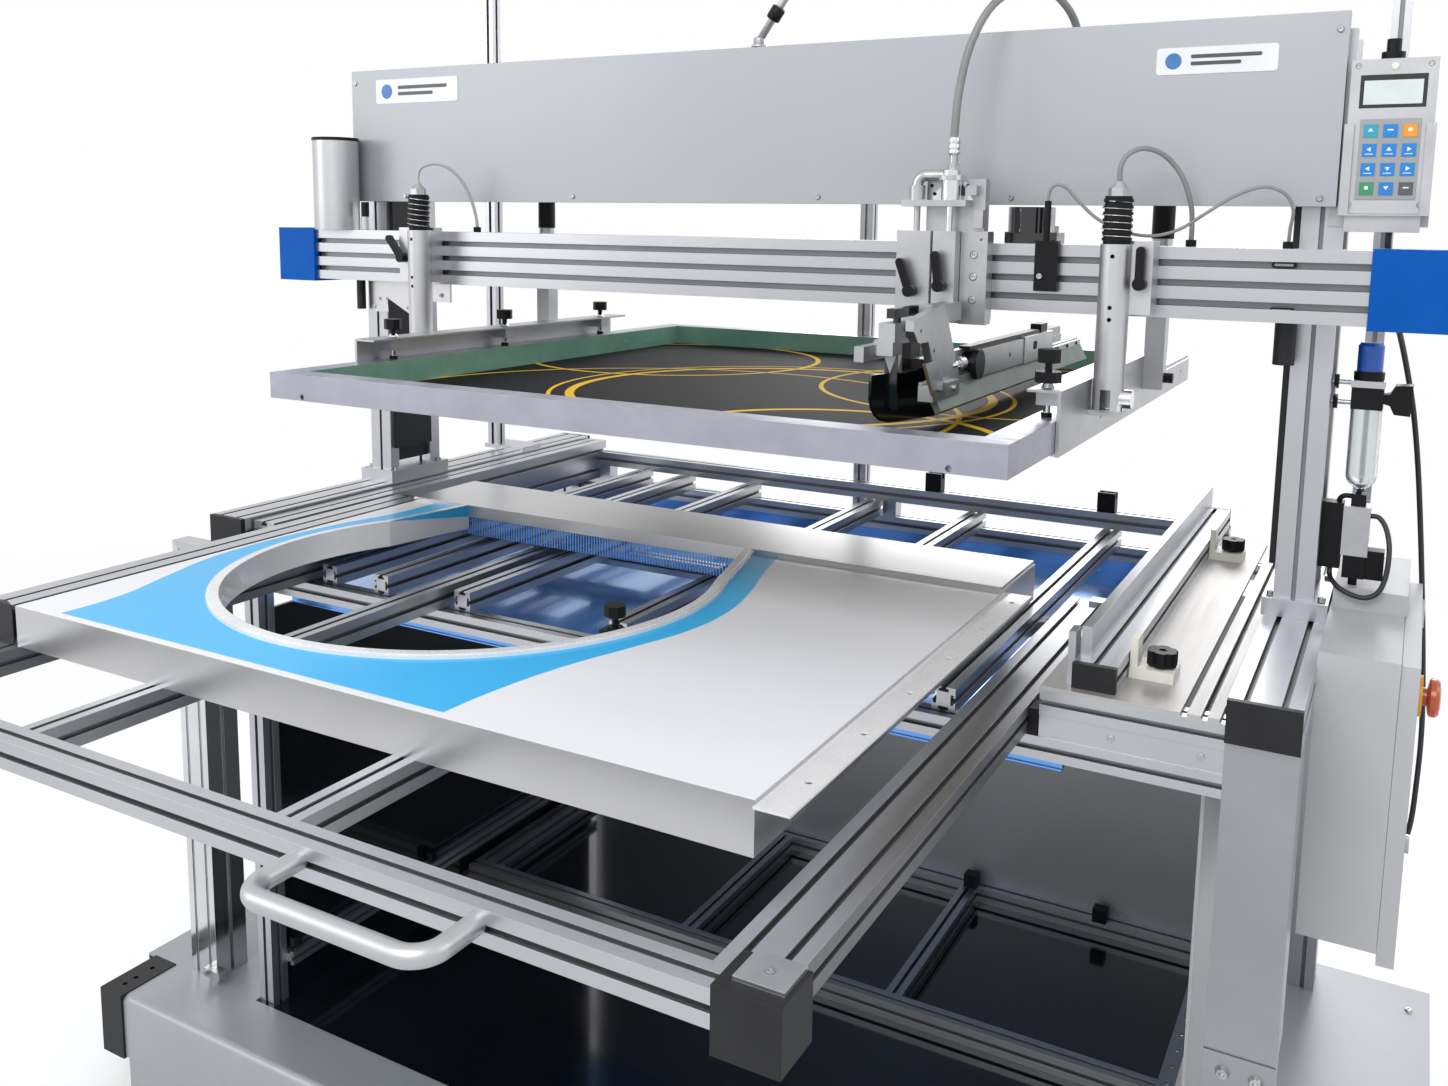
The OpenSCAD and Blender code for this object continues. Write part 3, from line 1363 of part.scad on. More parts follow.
base();
end_caps();
posts();
side_rails();
table_rails();
table_bars();
table_plate();
side_guide();
floor_grid();
bay_panels();
blue_tray();
columns();
hood();
mast();
cabinet();
air_unit();
air_bowl();
pendant_cradle();
slide_blocks();
fasteners();
print_beam();
beam_caps();
lift_slides();
drive_motor();
screen_tubes();
tube_sleeves();
rear_hangers();
holder_left();
holder_right();
carriage();
squeegee_holder();
squeegee_blade();
flood_bar();
screen_frame();
screen_mesh();
knob_left_1();
knob_left_2();
knob_left_3();
knob_right();
lever_flood();
lever_squeegee();
lever_tube_left();
lever_tube_right();
pull_frame();
pull_handle();
stop_rail();
panel_blank();
star_knob_1();
star_knob_2();
table_clamp();
cabinet_door();
estop_button();
air_knob();
pendant();
cable_left();
cable_right();
sensor_cable();
squeegee_hose();
valve_hose();
pendant_cable();
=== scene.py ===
# %% [markdown]
# # Dressing a flatbed screen printer
# The solids of this machine come from CAD, already in their places and on the bodies that
# move. This lesson gives them the look of the real machine: extruded and anodised profiles,
# brushed sheet, powder coat, acrylic, rubber and stretched fabric. What CAD leaves to us is
# made here as well: the cords, the small screws, the badges and the printed colours.

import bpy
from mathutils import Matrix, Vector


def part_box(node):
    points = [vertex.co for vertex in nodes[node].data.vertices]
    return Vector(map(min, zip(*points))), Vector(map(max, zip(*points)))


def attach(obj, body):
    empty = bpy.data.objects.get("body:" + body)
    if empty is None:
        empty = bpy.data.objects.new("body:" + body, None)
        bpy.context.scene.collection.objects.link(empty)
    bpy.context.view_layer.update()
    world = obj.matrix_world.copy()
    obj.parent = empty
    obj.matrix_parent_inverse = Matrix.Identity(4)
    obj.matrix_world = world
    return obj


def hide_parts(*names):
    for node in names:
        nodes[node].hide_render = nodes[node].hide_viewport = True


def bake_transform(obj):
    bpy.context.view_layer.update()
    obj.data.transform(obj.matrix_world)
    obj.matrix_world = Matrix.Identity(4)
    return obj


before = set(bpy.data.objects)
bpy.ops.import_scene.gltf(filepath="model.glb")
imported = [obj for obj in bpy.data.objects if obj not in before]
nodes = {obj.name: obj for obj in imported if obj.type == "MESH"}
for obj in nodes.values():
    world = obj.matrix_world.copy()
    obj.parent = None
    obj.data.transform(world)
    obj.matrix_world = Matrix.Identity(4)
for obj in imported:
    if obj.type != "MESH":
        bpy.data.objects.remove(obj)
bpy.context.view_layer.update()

# %% [markdown]
# The photograph was taken from the right, at head height, with the camera turned left and a
# little down. Its vanishing points gave the angles and the focal length in pixels. The
# principal point lies off the middle because the picture is a crop, so the lens is shifted.

# %% Camera
import math

import bpy
from mathutils import Matrix, Vector

IMAGE_W, IMAGE_H = 1448, 1086
FOCAL_PX = 1251.34
PRINCIPAL_PX = (733.31, 395.78)
YAW, PITCH, ROLL = (math.radians(a) for a in (28.758, 7.850, 0.818))

camera_data = bpy.data.cameras.new("camera")
camera_data.sensor_width = 36
camera_data.lens = FOCAL_PX / IMAGE_W * 36
camera_data.shift_x = (IMAGE_W / 2 - PRINCIPAL_PX[0]) / IMAGE_W
camera_data.shift_y = (PRINCIPAL_PX[1] - IMAGE_H / 2) / IMAGE_W
camera_data.clip_end = 60
camera = bpy.data.objects.new("camera", camera_data)
camera.matrix_world = (
    Matrix.Translation((0.8514, -1.290, 1.4118))
    @ Matrix.Rotation(YAW, 4, "Z")
    @ Matrix.Rotation(math.pi / 2 - PITCH, 4, "X")
    @ Matrix.Rotation(ROLL, 4, "Z")
)
bpy.context.scene.collection.objects.link(camera)
bpy.context.scene.camera = camera
print("lens %.2f mm" % camera_data.lens)

# %% [markdown]
# Every colour below is an sRGB hex value, as a colour picker shows it. Shaders work in linear
# light, so one function turns the one into the other. A second small function adds a shader
# node with its settings, its input values and its links in one line.

# %% Colours and nodes
def rgb(code):
    parts = [int(code[i : i + 2], 16) / 255 for i in (1, 3, 5)]
    linear = [p / 12.92 if p <= 0.04045 else ((p + 0.055) / 1.055) ** 2.4 for p in parts]
    return (*linear, 1.0)


def add(tree, kind, values=None, links=None, **settings):
    node = tree.nodes.new(kind)
    for key, value in settings.items():
        setattr(node, key, value)
    for key, value in (values or {}).items():
        node.inputs[key].default_value = value
    for key, socket in (links or {}).items():
        tree.links.new(socket, node.inputs[key])
    return node


def mm(x, y, z):
    return Vector((x, y, z)) / 1000


print("mid grey", [round(c, 3) for c in rgb("#808080")[:3]])

# %% [markdown]
# Six cords hang on the machine. Each is held at both ends and keeps the route that CAD
# settled, so its points are repeated here in millimetres. A curve through them, eased as a
# Catmull-Rom spline, gives one smooth centreline, and a bevel gives it the real diameter. The
# bevel is one unit deep and each point's radius shrinks it to half the cord's diameter,
# because Blender counts the points' radii into a curve's box.
# The air hose isn't made in this cell's loop; the next cell makes it as two tubes.

# %% Routes of the cords
ROUTES = {
    "lead_left": ("cable_left", 5, [
        (-535, 205, 1466), (-535, 205, 1480), (-530, 208, 1491), (-514, 218, 1497),
        (-496, 234, 1490), (-484, 252, 1467), (-479, 266, 1438), (-478, 274, 1414),
        (-478, 276, 1400)]),
    "lead_right": ("cable_right", 6, [
        (535, 205, 1466), (535, 205, 1482), (541, 210, 1496), (556, 222, 1504),
        (576, 240, 1497), (594, 258, 1474), (604, 270, 1442), (606, 275, 1418),
        (606, 276, 1400)]),
    "sensor_lead": ("sensor_cable", 4, [
        (445, 236, 1444), (446, 236, 1455), (453, 237, 1463), (465, 239, 1460),
        (480, 241, 1444), (502, 243, 1424), (532, 245, 1409), (566, 247, 1404),
        (596, 250, 1412), (624, 254, 1431), (652, 257, 1450), (682, 260, 1461),
        (705, 264, 1454), (715, 268, 1436), (713, 273, 1416), (712, 276, 1400)]),
    "air_hose": ("squeegee_hose", 10, [
        (330, 218, 1504), (330, 218, 1532), (333, 221, 1580), (343, 230, 1636),
        (362, 250, 1682), (388, 280, 1704), (414, 312, 1704), (432, 340, 1684),
        (440, 358, 1658), (441, 362, 1628)]),
    "valve_loop": ("valve_hose", 6, [
        (778, 354, 1010), (778, 352, 1002), (782, 342, 996), (791, 332, 990),
        (805, 328, 985), (820, 327, 984), (832, 329, 992), (838, 333, 1008),
        (840, 338, 1028), (839, 345, 1048), (834, 354, 1065), (826, 360, 1075),
        (817, 360, 1076)]),
    "pendant_lead": ("pendant_cable", 7, [
        (812, 312, 1412), (812, 313, 1396), (815, 325, 1358), (822, 356, 1322),
        (831, 400, 1290), (841, 442, 1246), (852, 480, 1190), (862, 510, 1120),
        (871, 528, 1040), (880, 535, 950), (888, 536, 860), (894, 535, 770),
        (894, 534, 690), (890, 528, 624), (876, 514, 588), (856, 496, 582),
        (843, 484, 604), (840, 480, 640)]),
}


def eased(points, steps=5):
    """Catmull-Rom points along the route, in metres."""
    p = [Vector(q) / 1000 for q in points]
    out = []
    for i in range(len(p) - 1):
        a, b, c, d = p[max(i - 1, 0)], p[i], p[i + 1], p[min(i + 2, len(p) - 1)]
        for t in (k / steps for k in range(steps)):
            out.append(0.5 * (2 * b + (c - a) * t + (2 * a - 5 * b + 4 * c - d) * t * t
                              + (3 * b - a - 3 * c + d) * t * t * t))
    return out + [p[-1]]


def length_of(points):
    return sum((b - a).length for a, b in zip(points, points[1:]))


centrelines = {name: eased(r[2]) for name, r in ROUTES.items()}
for name, line in centrelines.items():
    print("%-13s %.3f m" % (name, length_of(line)))

# %% Cords as bevelled curves
CORD_BODY = {"lead_left": "head", "lead_right": "head", "sensor_lead": "head",
             "valve_loop": "frame", "pendant_lead": "frame"}


def bevelled(name, line, diameter):
    curve = bpy.data.curves.new(name, "CURVE")
    curve.dimensions = "3D"
    curve.bevel_depth = 1.0
    curve.bevel_resolution = 3
    curve.use_fill_caps = True
    spline = curve.splines.new("POLY")
    spline.points.add(len(line) - 1)
    for point, place in zip(spline.points, line):
        point.co = (*place, 1)
        point.radius = diameter / 2000
    cord = bpy.data.objects.new(name, curve)
    bpy.context.scene.collection.objects.link(cord)
    return cord


cords = {}
for name, body in CORD_BODY.items():
    cords[name] = bevelled(name, centrelines[name], ROUTES[name][1])
    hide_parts(ROUTES[name][0])
    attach(cords[name], body)
print("cords:", len(cords))

# %% [markdown]
# The air hose spans two joints: the head drops below the cover, and the carriage runs along
# the head. It is made as two tubes that meet in front of the cover; both are baked in place
# and set on no body, so they don't follow the head or the carriage. Its slack isn't modelled.

# %% The air hose in two tubes
def tube_mesh(name):
    """The bevelled cord as a plain mesh of the same name."""
    bpy.context.view_layer.update()
    seen = cords[name].evaluated_get(bpy.context.evaluated_depsgraph_get())
    mesh = bpy.data.meshes.new_from_object(seen)
    bpy.data.objects.remove(cords[name])
    tube = bpy.data.objects.new(name, mesh)
    bpy.context.scene.collection.objects.link(tube)
    return tube


hose_line = centrelines["air_hose"]
hose_node, hose_diameter = ROUTES["air_hose"][:2]
MEET = 20
parts_of_hose = {"air_hose": hose_line[:MEET + 1], "air_hose_top": hose_line[MEET:]}
for name, line in parts_of_hose.items():
    cords[name] = bevelled(name, line, hose_diameter)
    cords[name] = tube_mesh(name)
    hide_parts(hose_node)
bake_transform(cords["air_hose"])
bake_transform(cords["air_hose_top"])
print("hose parts:", [round(length_of(line), 3) for line in parts_of_hose.values()])


# %% [markdown]
# Most finishes here share one build. A wide soft noise shifts the colour a little, as dust,
# handling and uneven coating do. A fine noise gives the grain: its size in millimetres is
# set for each direction, so a long thin grain is a brushed or extruded surface and an even
# one is a moulded or powder-coated surface. That grain also drives roughness and bump. A
# Bevel node rounds the light on sharp CAD edges, which no real edge is free of.
# The Mix node has sockets for each data type under the same names, so its colour sockets
# are reached by their numbers.

# %% One build for the common finishes
MIX_A, MIX_B, MIX_OUT = 6, 7, 2


def start_material(name, metallic=0.0, coat=0.0, shine=0.5):
    """A new material: its tree, its shader and the socket with the place on the object."""
    material = bpy.data.materials.new(name)
    material.use_nodes = True
    tree = material.node_tree
    shader = tree.nodes["Principled BSDF"]
    shader.inputs["Metallic"].default_value = metallic
    shader.inputs["Specular IOR Level"].default_value = shine
    shader.inputs["Coat Weight"].default_value = coat
    shader.inputs["Coat Roughness"].default_value = 0.06
    return material, tree, shader, add(tree, "ShaderNodeTexCoord").outputs["Object"]


def surface(tree, shader, place, base, rough, grain, bump, vary, edge):
    """Grain in roughness and bump, rounded edges, and the base colour."""
    sized = add(tree, "ShaderNodeMapping", {"Scale": [1000 / g for g in grain]}, {"Vector": place})
    fine = add(tree, "ShaderNodeTexNoise", {"Scale": 1.0, "Detail": 3.0},
               {"Vector": sized.outputs[0]}).outputs["Fac"]
    rounded = add(tree, "ShaderNodeBevel", {"Radius": edge / 1000}, samples=4)
    spread = add(tree, "ShaderNodeMapRange",
                 {"From Min": 0.3, "From Max": 0.7, "To Min": max(rough - vary, 0.03),
                  "To Max": rough + vary}, {"Value": fine})
    bumpy = add(tree, "ShaderNodeBump", {"Strength": 1.0, "Distance": bump / 1000},
                {"Height": fine, "Normal": rounded.outputs[0]})
    tree.links.new(base, shader.inputs["Base Color"])
    tree.links.new(spread.outputs[0], shader.inputs["Roughness"])
    tree.links.new(bumpy.outputs[0], shader.inputs["Normal"])


def patches(tree, place, colour, shade, size):
    """Two hex colours in soft patches of about size millimetres."""
    wide = add(tree, "ShaderNodeTexNoise", {"Scale": 1000 / size, "Detail": 4.0, "Roughness": 0.6},
               {"Vector": place})
    blend = add(tree, "ShaderNodeMapRange", {"From Min": 0.3, "From Max": 0.7},
                {"Value": wide.outputs["Fac"]})
    return add(tree, "ShaderNodeMix", {MIX_A: rgb(colour), MIX_B: rgb(shade)},
               {0: blend.outputs[0]}, data_type="RGBA").outputs[MIX_OUT]


def finish(name, colour, shade, rough, metallic=0.0, grain=(1, 1, 1), bump=0.02, vary=0.06,
           patch=120, edge=0.6, coat=0.0, shine=0.5):
    """colour and shade are hex; grain, bump, patch and edge are in millimetres."""
    material, tree, shader, place = start_material(name, metallic, coat, shine)
    surface(tree, shader, place, patches(tree, place, colour, shade, patch), rough, grain,
            bump, vary, edge)
    return material


print("the shared build is ready")

# %% [markdown]
# The frame of the machine is extruded aluminium with a clear anodised skin: satin, pale,
# with faint lines along each bar from the die. Lines run with the bar, so there is one
# material for each direction. Sheet steel is brushed: its grain is shorter and deeper.
# The real die lines and blasting grit are about a tenth of a millimetre, too fine to show
# from here, so their grain is drawn at about one millimetre.

# %% Metals
LINES = {"x": (240, 0.9, 0.9), "y": (0.9, 240, 0.9), "z": (0.9, 0.9, 240)}
aluminium = {
    way: finish("anodised aluminium, extruded along " + way, "#C0C2C7", "#B5B7BC", 0.33,
                metallic=0.90, grain=size, bump=0.0016, vary=0.03, patch=320, edge=0.5)
    for way, size in LINES.items()
}
# slot metal: darker as painted shade for the little light in a profile's slots, with dust
slot_shade = {
    way: finish("anodised aluminium in a slot, along " + way, "#8C8D90", "#7C7D80", 0.40,
                metallic=0.75, grain=size, bump=0.0016, vary=0.04, patch=200, edge=0.3)
    for way, size in LINES.items()
}
steel = {
    way: finish("brushed stainless sheet, grain along " + way, "#CACACB", "#BEBEC0", 0.32,
                metallic=0.90, grain=[g * 0.6 for g in size], bump=0.0014, vary=0.04, patch=420,
                edge=0.5)
    for way, size in LINES.items()
}
dull_steel = finish("satin sheet of the table", "#BDBBBA", "#B1AFAE", 0.50, metallic=0.75,
                    grain=(0.7, 120, 0.7), bump=0.0016, vary=0.05, patch=500)
satin = finish("glass-blasted aluminium bracket", "#BDBEC1", "#ABACB0", 0.36, metallic=0.92,
               grain=(0.8, 0.8, 0.8), bump=0.003, vary=0.04, patch=60, edge=0.5)
tube_metal = finish("satin anodised tube", "#C4C5C8", "#B7B8BC", 0.42, metallic=0.90,
                    grain=(1.0, 1.0, 200), bump=0.0016, vary=0.03, patch=150, edge=0.5)
chrome = finish("polished chrome plate", "#E4E5E7", "#D6D8DB", 0.09, metallic=1.0,
                grain=(6, 6, 6), bump=0.002, vary=0.03, patch=60, edge=0.4)
polished = finish("polished aluminium tube", "#E2E3E5", "#CFD1D4", 0.14, metallic=1.0,
                  grain=(1.6, 1.6, 200), bump=0.006, vary=0.05, patch=200)
# the right front post is a darker copy of the aluminium: painted shade, with a brushed grain
shaded_post_metal = finish("brushed aluminium post, painted shade", "#A5A6AA", "#98999E", 0.38, metallic=0.85,
                    grain=(0.6, 0.6, 160), bump=0.0018, vary=0.04, patch=260, edge=0.5)
zinc = finish("zinc-plated steel screw", "#C6C7C8", "#A7A8AA", 0.30, metallic=1.0,
              grain=(1.5, 1.5, 1.5), bump=0.01, vary=0.08, patch=14, edge=0.3)
worn_aluminium = finish("worn aluminium of a printing screen", "#ADADBA", "#A1A1AE", 0.34,
                        metallic=0.80, grain=(26, 5, 5), bump=0.004, vary=0.06, patch=60,
                        edge=0.8)
print("materials so far:", len(bpy.data.materials))

# %% [markdown]
# The cover panel and the cabinet are painted sheet. Powder coat is a baked polymer film with
# a very fine orange peel. Knobs, caps and handles are moulded plastic: an even fine grain
# from the mould and a satin sheen. Acrylic sheet is glossy and almost without grain.

# %% Paints and plastics
hood_paint = finish("satin silver paint on sheet", "#A9ACB1", "#A0A3A9", 0.42, metallic=0.35,
                    grain=(0.8, 0.8, 0.8), bump=0.003, vary=0.04, patch=900)
cabinet_paint = finish("light grey powder coat", "#BCBEC1", "#B4B6BA", 0.42,
                       grain=(1.5, 1.5, 1.5), bump=0.008, patch=300)
base_paint = finish("satin sheet of the base", "#ABAEB3", "#A1A4A9", 0.38, metallic=0.25,
                    grain=(200, 0.8, 0.8), bump=0.0015, vary=0.03, patch=600)
black_plastic = finish("black moulded nylon", "#0B0C0E", "#131417", 0.42, grain=(0.8, 0.8, 0.8),
                       bump=0.012, patch=30, shine=0.2)
black_cap = finish("black moulded end cap", "#121316", "#1A1B1E", 0.45, grain=(1, 1, 1),
                   bump=0.02, patch=40, edge=1.5, shine=0.35)
gloss_black = finish("black acrylic sheet", "#0C0E12", "#13161C", 0.10, grain=(60, 60, 60),
                     bump=0.05, vary=0.03, patch=260, coat=0.6)
blue_cap = finish("blue moulded cap", "#0056AE", "#004FA4", 0.48, grain=(1.2, 1.2, 1.2),
                  bump=0.02, patch=80, edge=1.5, shine=0.12)
blue_knob = finish("blue glossy knob", "#1058C2", "#0E4FB0", 0.24, grain=(1, 1, 1), bump=0.01,
                   patch=20, coat=0.3)
# the tray's blue is painted lighter than its own: painted light for the shade under the head
painted_light_blue_sheet = finish("blue acrylic tray, painted light", "#62AAFF", "#72B4FF", 0.18, metallic=0.45, grain=(220, 160, 60),
                    bump=0.35, vary=0.03, patch=420, coat=0.6)
white_plastic = finish("white acetal block", "#ECEAE2", "#DEDCD3", 0.38, grain=(1, 1, 1),
                       bump=0.02, patch=25, edge=0.8)
red_plastic = finish("orange-red stop button", "#C8552A", "#B54A22", 0.28, grain=(1, 1, 1),
                     bump=0.01, patch=20, coat=0.4)
yellow_plastic = finish("yellow collar", "#E8A93A", "#DD9C2C", 0.35, grain=(1, 1, 1),
                        bump=0.01, patch=20)
green_rubber = finish("polyurethane squeegee strip", "#6E7F78", "#5C6C66", 0.45,
                      grain=(20, 2, 2), bump=0.02, patch=60)
grey_cable = finish("grey PVC jacket", "#B9B9B6", "#AAAAA7", 0.45, grain=(2, 2, 2), bump=0.02,
                    patch=50)
dark_cable = finish("dark grey PVC jacket", "#8C8D8E", "#7C7D7F", 0.42, grain=(2, 2, 2),
                    bump=0.02, patch=50)
black_cable = finish("black PVC jacket", "#1A1B1D", "#26272A", 0.45, grain=(2, 2, 2), bump=0.02,
                     patch=50)
bay_sheet = finish("satin sheet inside the bay", "#B4B5B8", "#A7A8AB", 0.46, metallic=0.6,
                   grain=(0.8, 0.8, 90), bump=0.0015, vary=0.03, patch=500)
case_plastic = finish("pendant case, textured ABS", "#C4C6C8", "#B8BABD", 0.46,
                      grain=(0.9, 0.9, 0.9), bump=0.05, patch=40)
print("materials so far:", len(bpy.data.materials))

# %% [markdown]
# A CAD node is one mesh, but it may hold pieces of different stuff, such as the black cap on
# a bar. The mesh stays as it is; each face only gets the number of a material. Areas are
# boxes in millimetres in the machine's frame, and a face goes with the box its middle is in.

# %% Dress a CAD node
import numpy as np


def dress(name, base, *areas):
    mesh = nodes[name].data
    mesh.materials.clear()
    used = [base] + [a[0] for a in areas]
    for material in dict.fromkeys(used):
        mesh.materials.append(material)
    order = {m: i for i, m in enumerate(dict.fromkeys(used))}
    middle = np.empty(len(mesh.polygons) * 3, np.float32)
    mesh.polygons.foreach_get("center", middle)
    middle = middle.reshape(-1, 3) * 1000
    index = np.zeros(len(mesh.polygons), np.int32)
    for material, low, high in areas:
        inside = ((middle >= np.array(low)) & (middle <= np.array(high))).all(axis=1)
        index[inside] = order[material]
    mesh.polygons.foreach_set("material_index", index)
    mesh.update()


print("faces in the CAD model:", sum(len(o.data.polygons) for o in nodes.values()))

# %% [markdown]
# The stand, the table and the portal come first. Most of it is profile, so each node gets the
# aluminium of its own direction, and the areas name what is black, painted or sheet. Below
# its skin a profile has slots. Little light and much dust get in there, so every face that
# lies inside a bar's box, away from its skin, takes the darker metal: painted shade and dust.

# %% Slots and stand
BIG = 3000


def slots(way, low, high, rim=0.9):
    """All that lies deeper than rim under the skin of the bar from low to high, in painted shade."""
    return (slot_shade[way], [v + rim for v in low], [v - rim for v in high])


dress("base", base_paint, slots("x", (-880, 835, 102), (880, 905, 172)))
dress("end_caps", black_cap)
dress("posts", aluminium["z"], (polished, (-850, -40, 170), (-780, 40, 890)),
      # the right front post takes the darker metal of painted shade
      (shaded_post_metal, (690, -60, 160), (800, 90, 900)),
      slots("z", (-684, -30, 172), (-654, 0, 893)),
      slots("z", (712, 845, 175), (782, 905, 905)), slots("z", (-782, 845, 175), (-712, 905, 905)))
dress("side_rails", aluminium["y"], slots("y", (712, 0, 905), (782, 905, 950)),
      slots("y", (-782, 0, 905), (-712, 905, 950)))
dress("table_rails", aluminium["x"], (aluminium["y"], (-709, 13, 867), (-663, 906, 947)),
      slots("x", (-712, 0, 842), (712, 28, 868)), slots("x", (-712, 877, 842), (712, 905, 868)),
      slots("x", (-664, 877, 897), (600, 905, 925)), slots("x", (524, 0, 893), (712, 28, 921)),
      slots("y", (-708, 14, 868), (-664, 905, 946)))
dress("table_bars", aluminium["y"],
      *[slots("y", (x, 14, 868), (x + 28, 891, 897)) for x in (-562, -459, -306, -44, 156, 398)])
dress("table_plate", dull_steel, slots("y", (674, 0, 868), (706, 891, 921)))
dress("side_guide", aluminium["y"], slots("y", (554, 20, 925), (600, 880, 953)))
dress("floor_grid", aluminium["y"], (aluminium["x"], (-660, 429, 170), (606, 459, 201)),
      (aluminium["x"], (-660, 837, 170), (606, 867, 201)),
      *[slots("y", (x, 458, 172), (x + 28, 838, 200)) for x in (-650, -195, 185)],
      slots("x", (-650, 430, 172), (605, 458, 200)), slots("x", (-650, 838, 172), (605, 866, 200)),
      slots("y", (-662, 0, 231), (-640, 838, 253)),
      (black_plastic, (-665, 0, 253.5), (-630, 400, 280)))
dress("bay_panels", gloss_black, (bay_sheet, (-700, 864, 160), (700, 880, 860)),
      (bay_sheet, (684, 50, 160), (700, 880, 860)))
dress("blue_tray", painted_light_blue_sheet)
dress("slide_blocks", black_plastic, (white_plastic, (590, 60, 924), (700, 700, 1010)))
dress("fasteners", zinc)
print("dressed the stand")

# %% Portal, cabinet and mast
COVERS = [(black_cap, (s * 742 - 18, 341.9, 984.5), (s * 742 + 18, 421.1, 1550.5)) for s in (-1, 1)]
COVERS += [(black_cap, (s * 715.5 - 4.1, 330.9, 1009.5), (s * 715.5 + 4.1, 417.1, 1550.5))
           for s in (-1, 1)]
dress("columns", aluminium["z"],
      *[slots("z", (s * 742 - 22.5, 322, 972), (s * 742 + 22.5, 342, 1640)) for s in (-1, 1)],
      *[slots("z", (s * 742 - 22.5, 421, 972), (s * 742 + 22.5, 446, 1640)) for s in (-1, 1)],
      (aluminium["x"], (-719, 323, 1559), (719, 385, 1620.5)), *COVERS,
      (black_plastic, (430, 350, 1618), (452, 374, 1630)))
dress("hood", hood_paint)
dress("mast", aluminium["z"], (aluminium["x"], (-813, 684, 1879.5), (813, 745, 1905)),
      *[slots("z", (s * 796 - 12, 690, 960), (s * 796 + 12, 714, 1879)) for s in (-1, 1)])
dress("cabinet", cabinet_paint)
dress("cabinet_door", cabinet_paint, (chrome, (880.1, 170, 750), (890, 182, 772)),
      (yellow_plastic, (880.1, 222, 876), (890, 278, 930)))
dress("estop_button", red_plastic)
print("dressed the portal")

# %% [markdown]
# The air unit's bowl is clear polycarbonate: you see the tube inside and bright rims. It is
# the one see-through piece, so it gets transmission and a low roughness of its own.

# %% Clear plastic
def clear_plastic():
    material, tree, shader, place = start_material("clear polycarbonate")
    haze = add(tree, "ShaderNodeTexNoise", {"Scale": 90.0}, {"Vector": place}).outputs["Fac"]
    rough = add(tree, "ShaderNodeMapRange", {"To Min": 0.02, "To Max": 0.10}, {"Value": haze})
    tint = add(tree, "ShaderNodeMix", {MIX_A: rgb("#F5F7F8"), MIX_B: rgb("#ECF0F2")}, {0: haze},
               data_type="RGBA").outputs[MIX_OUT]
    shader.inputs["Transmission Weight"].default_value = 0.9
    shader.inputs["IOR"].default_value = 1.58
    tree.links.new(tint, shader.inputs["Base Color"])
    tree.links.new(rough.outputs[0], shader.inputs["Roughness"])
    return material


clear = clear_plastic()
UNIT = (803, 360, 1200)
dress("air_unit", black_plastic,
      (aluminium["z"], (UNIT[0] - 19, UNIT[1] - 19, UNIT[2] + 30.5),
       (UNIT[0] + 19, UNIT[1] + 19, UNIT[2] + 39.5)),
      (zinc, (764, UNIT[1] - 4, 1205), (785, UNIT[1] + 4, 1240)),
      (satin, (787, 344, 1027.5), (818, 378, 1088.5)))
dress("air_bowl", clear)
dress("air_knob", blue_knob)
dress("pendant_cradle", satin)
print("dressed the air unit")

# %% [markdown]
# The print head hangs on the portal: a slotted beam with blue moulded caps, bright tubes for
# the screen in black sleeves, and chrome studs under black knobs. Several of these pieces are
# in one node each, so boxes pick the part that is chrome or black.

# %% Print head
dress("print_beam", aluminium["x"], slots("x", (-800, 242, 1309), (800, 302, 1392)))
dress("beam_caps", blue_cap)
dress("lift_slides", steel["z"], (black_plastic, (-699, 301, 1222), (-651, 317, 1269.5)),
      (black_cap, (-759, 283, 1256), (-741, 301, 1308.9)),
      (black_cap, (700, 283, 1256), (728, 309, 1308.9)))
dress("drive_motor", tube_metal, (black_plastic, (-800, 200, 1537.8), (-716, 320, 1550)),
      (black_plastic, (-709, 240, 1414.1), (-690, 270, 1445)),
      (gloss_black, (381, 256, 1391), (449, 316, 1438)),
      (zinc, (434, 272, 1406.5), (449, 288, 1438)))
dress("screen_tubes", tube_metal, (chrome, (548, 190, 1200), (572, 220, 1232)),
      (chrome, (-572, 190, 1200), (-548, 220, 1232)))
dress("tube_sleeves", black_plastic, (satin, (-600, 150, 1448.9), (600, 228, 1480)))
dress("rear_hangers", tube_metal, (black_plastic, (-600, 508, 1399.2), (600, 542, 1460)),
      (black_plastic, (546.5, 510, 1190), (570, 540, 1220)),
      (black_plastic, (-570, 510, 1190), (-546.5, 540, 1220)))
dress("holder_left", satin)
dress("holder_right", satin)
for knob in ("knob_left_1", "knob_left_2", "knob_left_3", "knob_right"):
    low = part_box(knob)[0] * 1000
    dress(knob, black_plastic, (chrome, (low.x, low.y, 1208.5), (low.x + 60, low.y + 60, 1242)))
for lever in ("lever_flood", "lever_squeegee", "lever_tube_left", "lever_tube_right"):
    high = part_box(lever)[1] * 1000
    dress(lever, black_plastic, (chrome, (-BIG, high.y - 3.1, 0), (BIG, high.y + 1, BIG)))
print("dressed the print head")

# %% [markdown]
# The carriage is the busiest part. Its plates are glass-blasted aluminium, its two air
# cylinders are steel barrels with bright fittings, and what moves or presses is black.

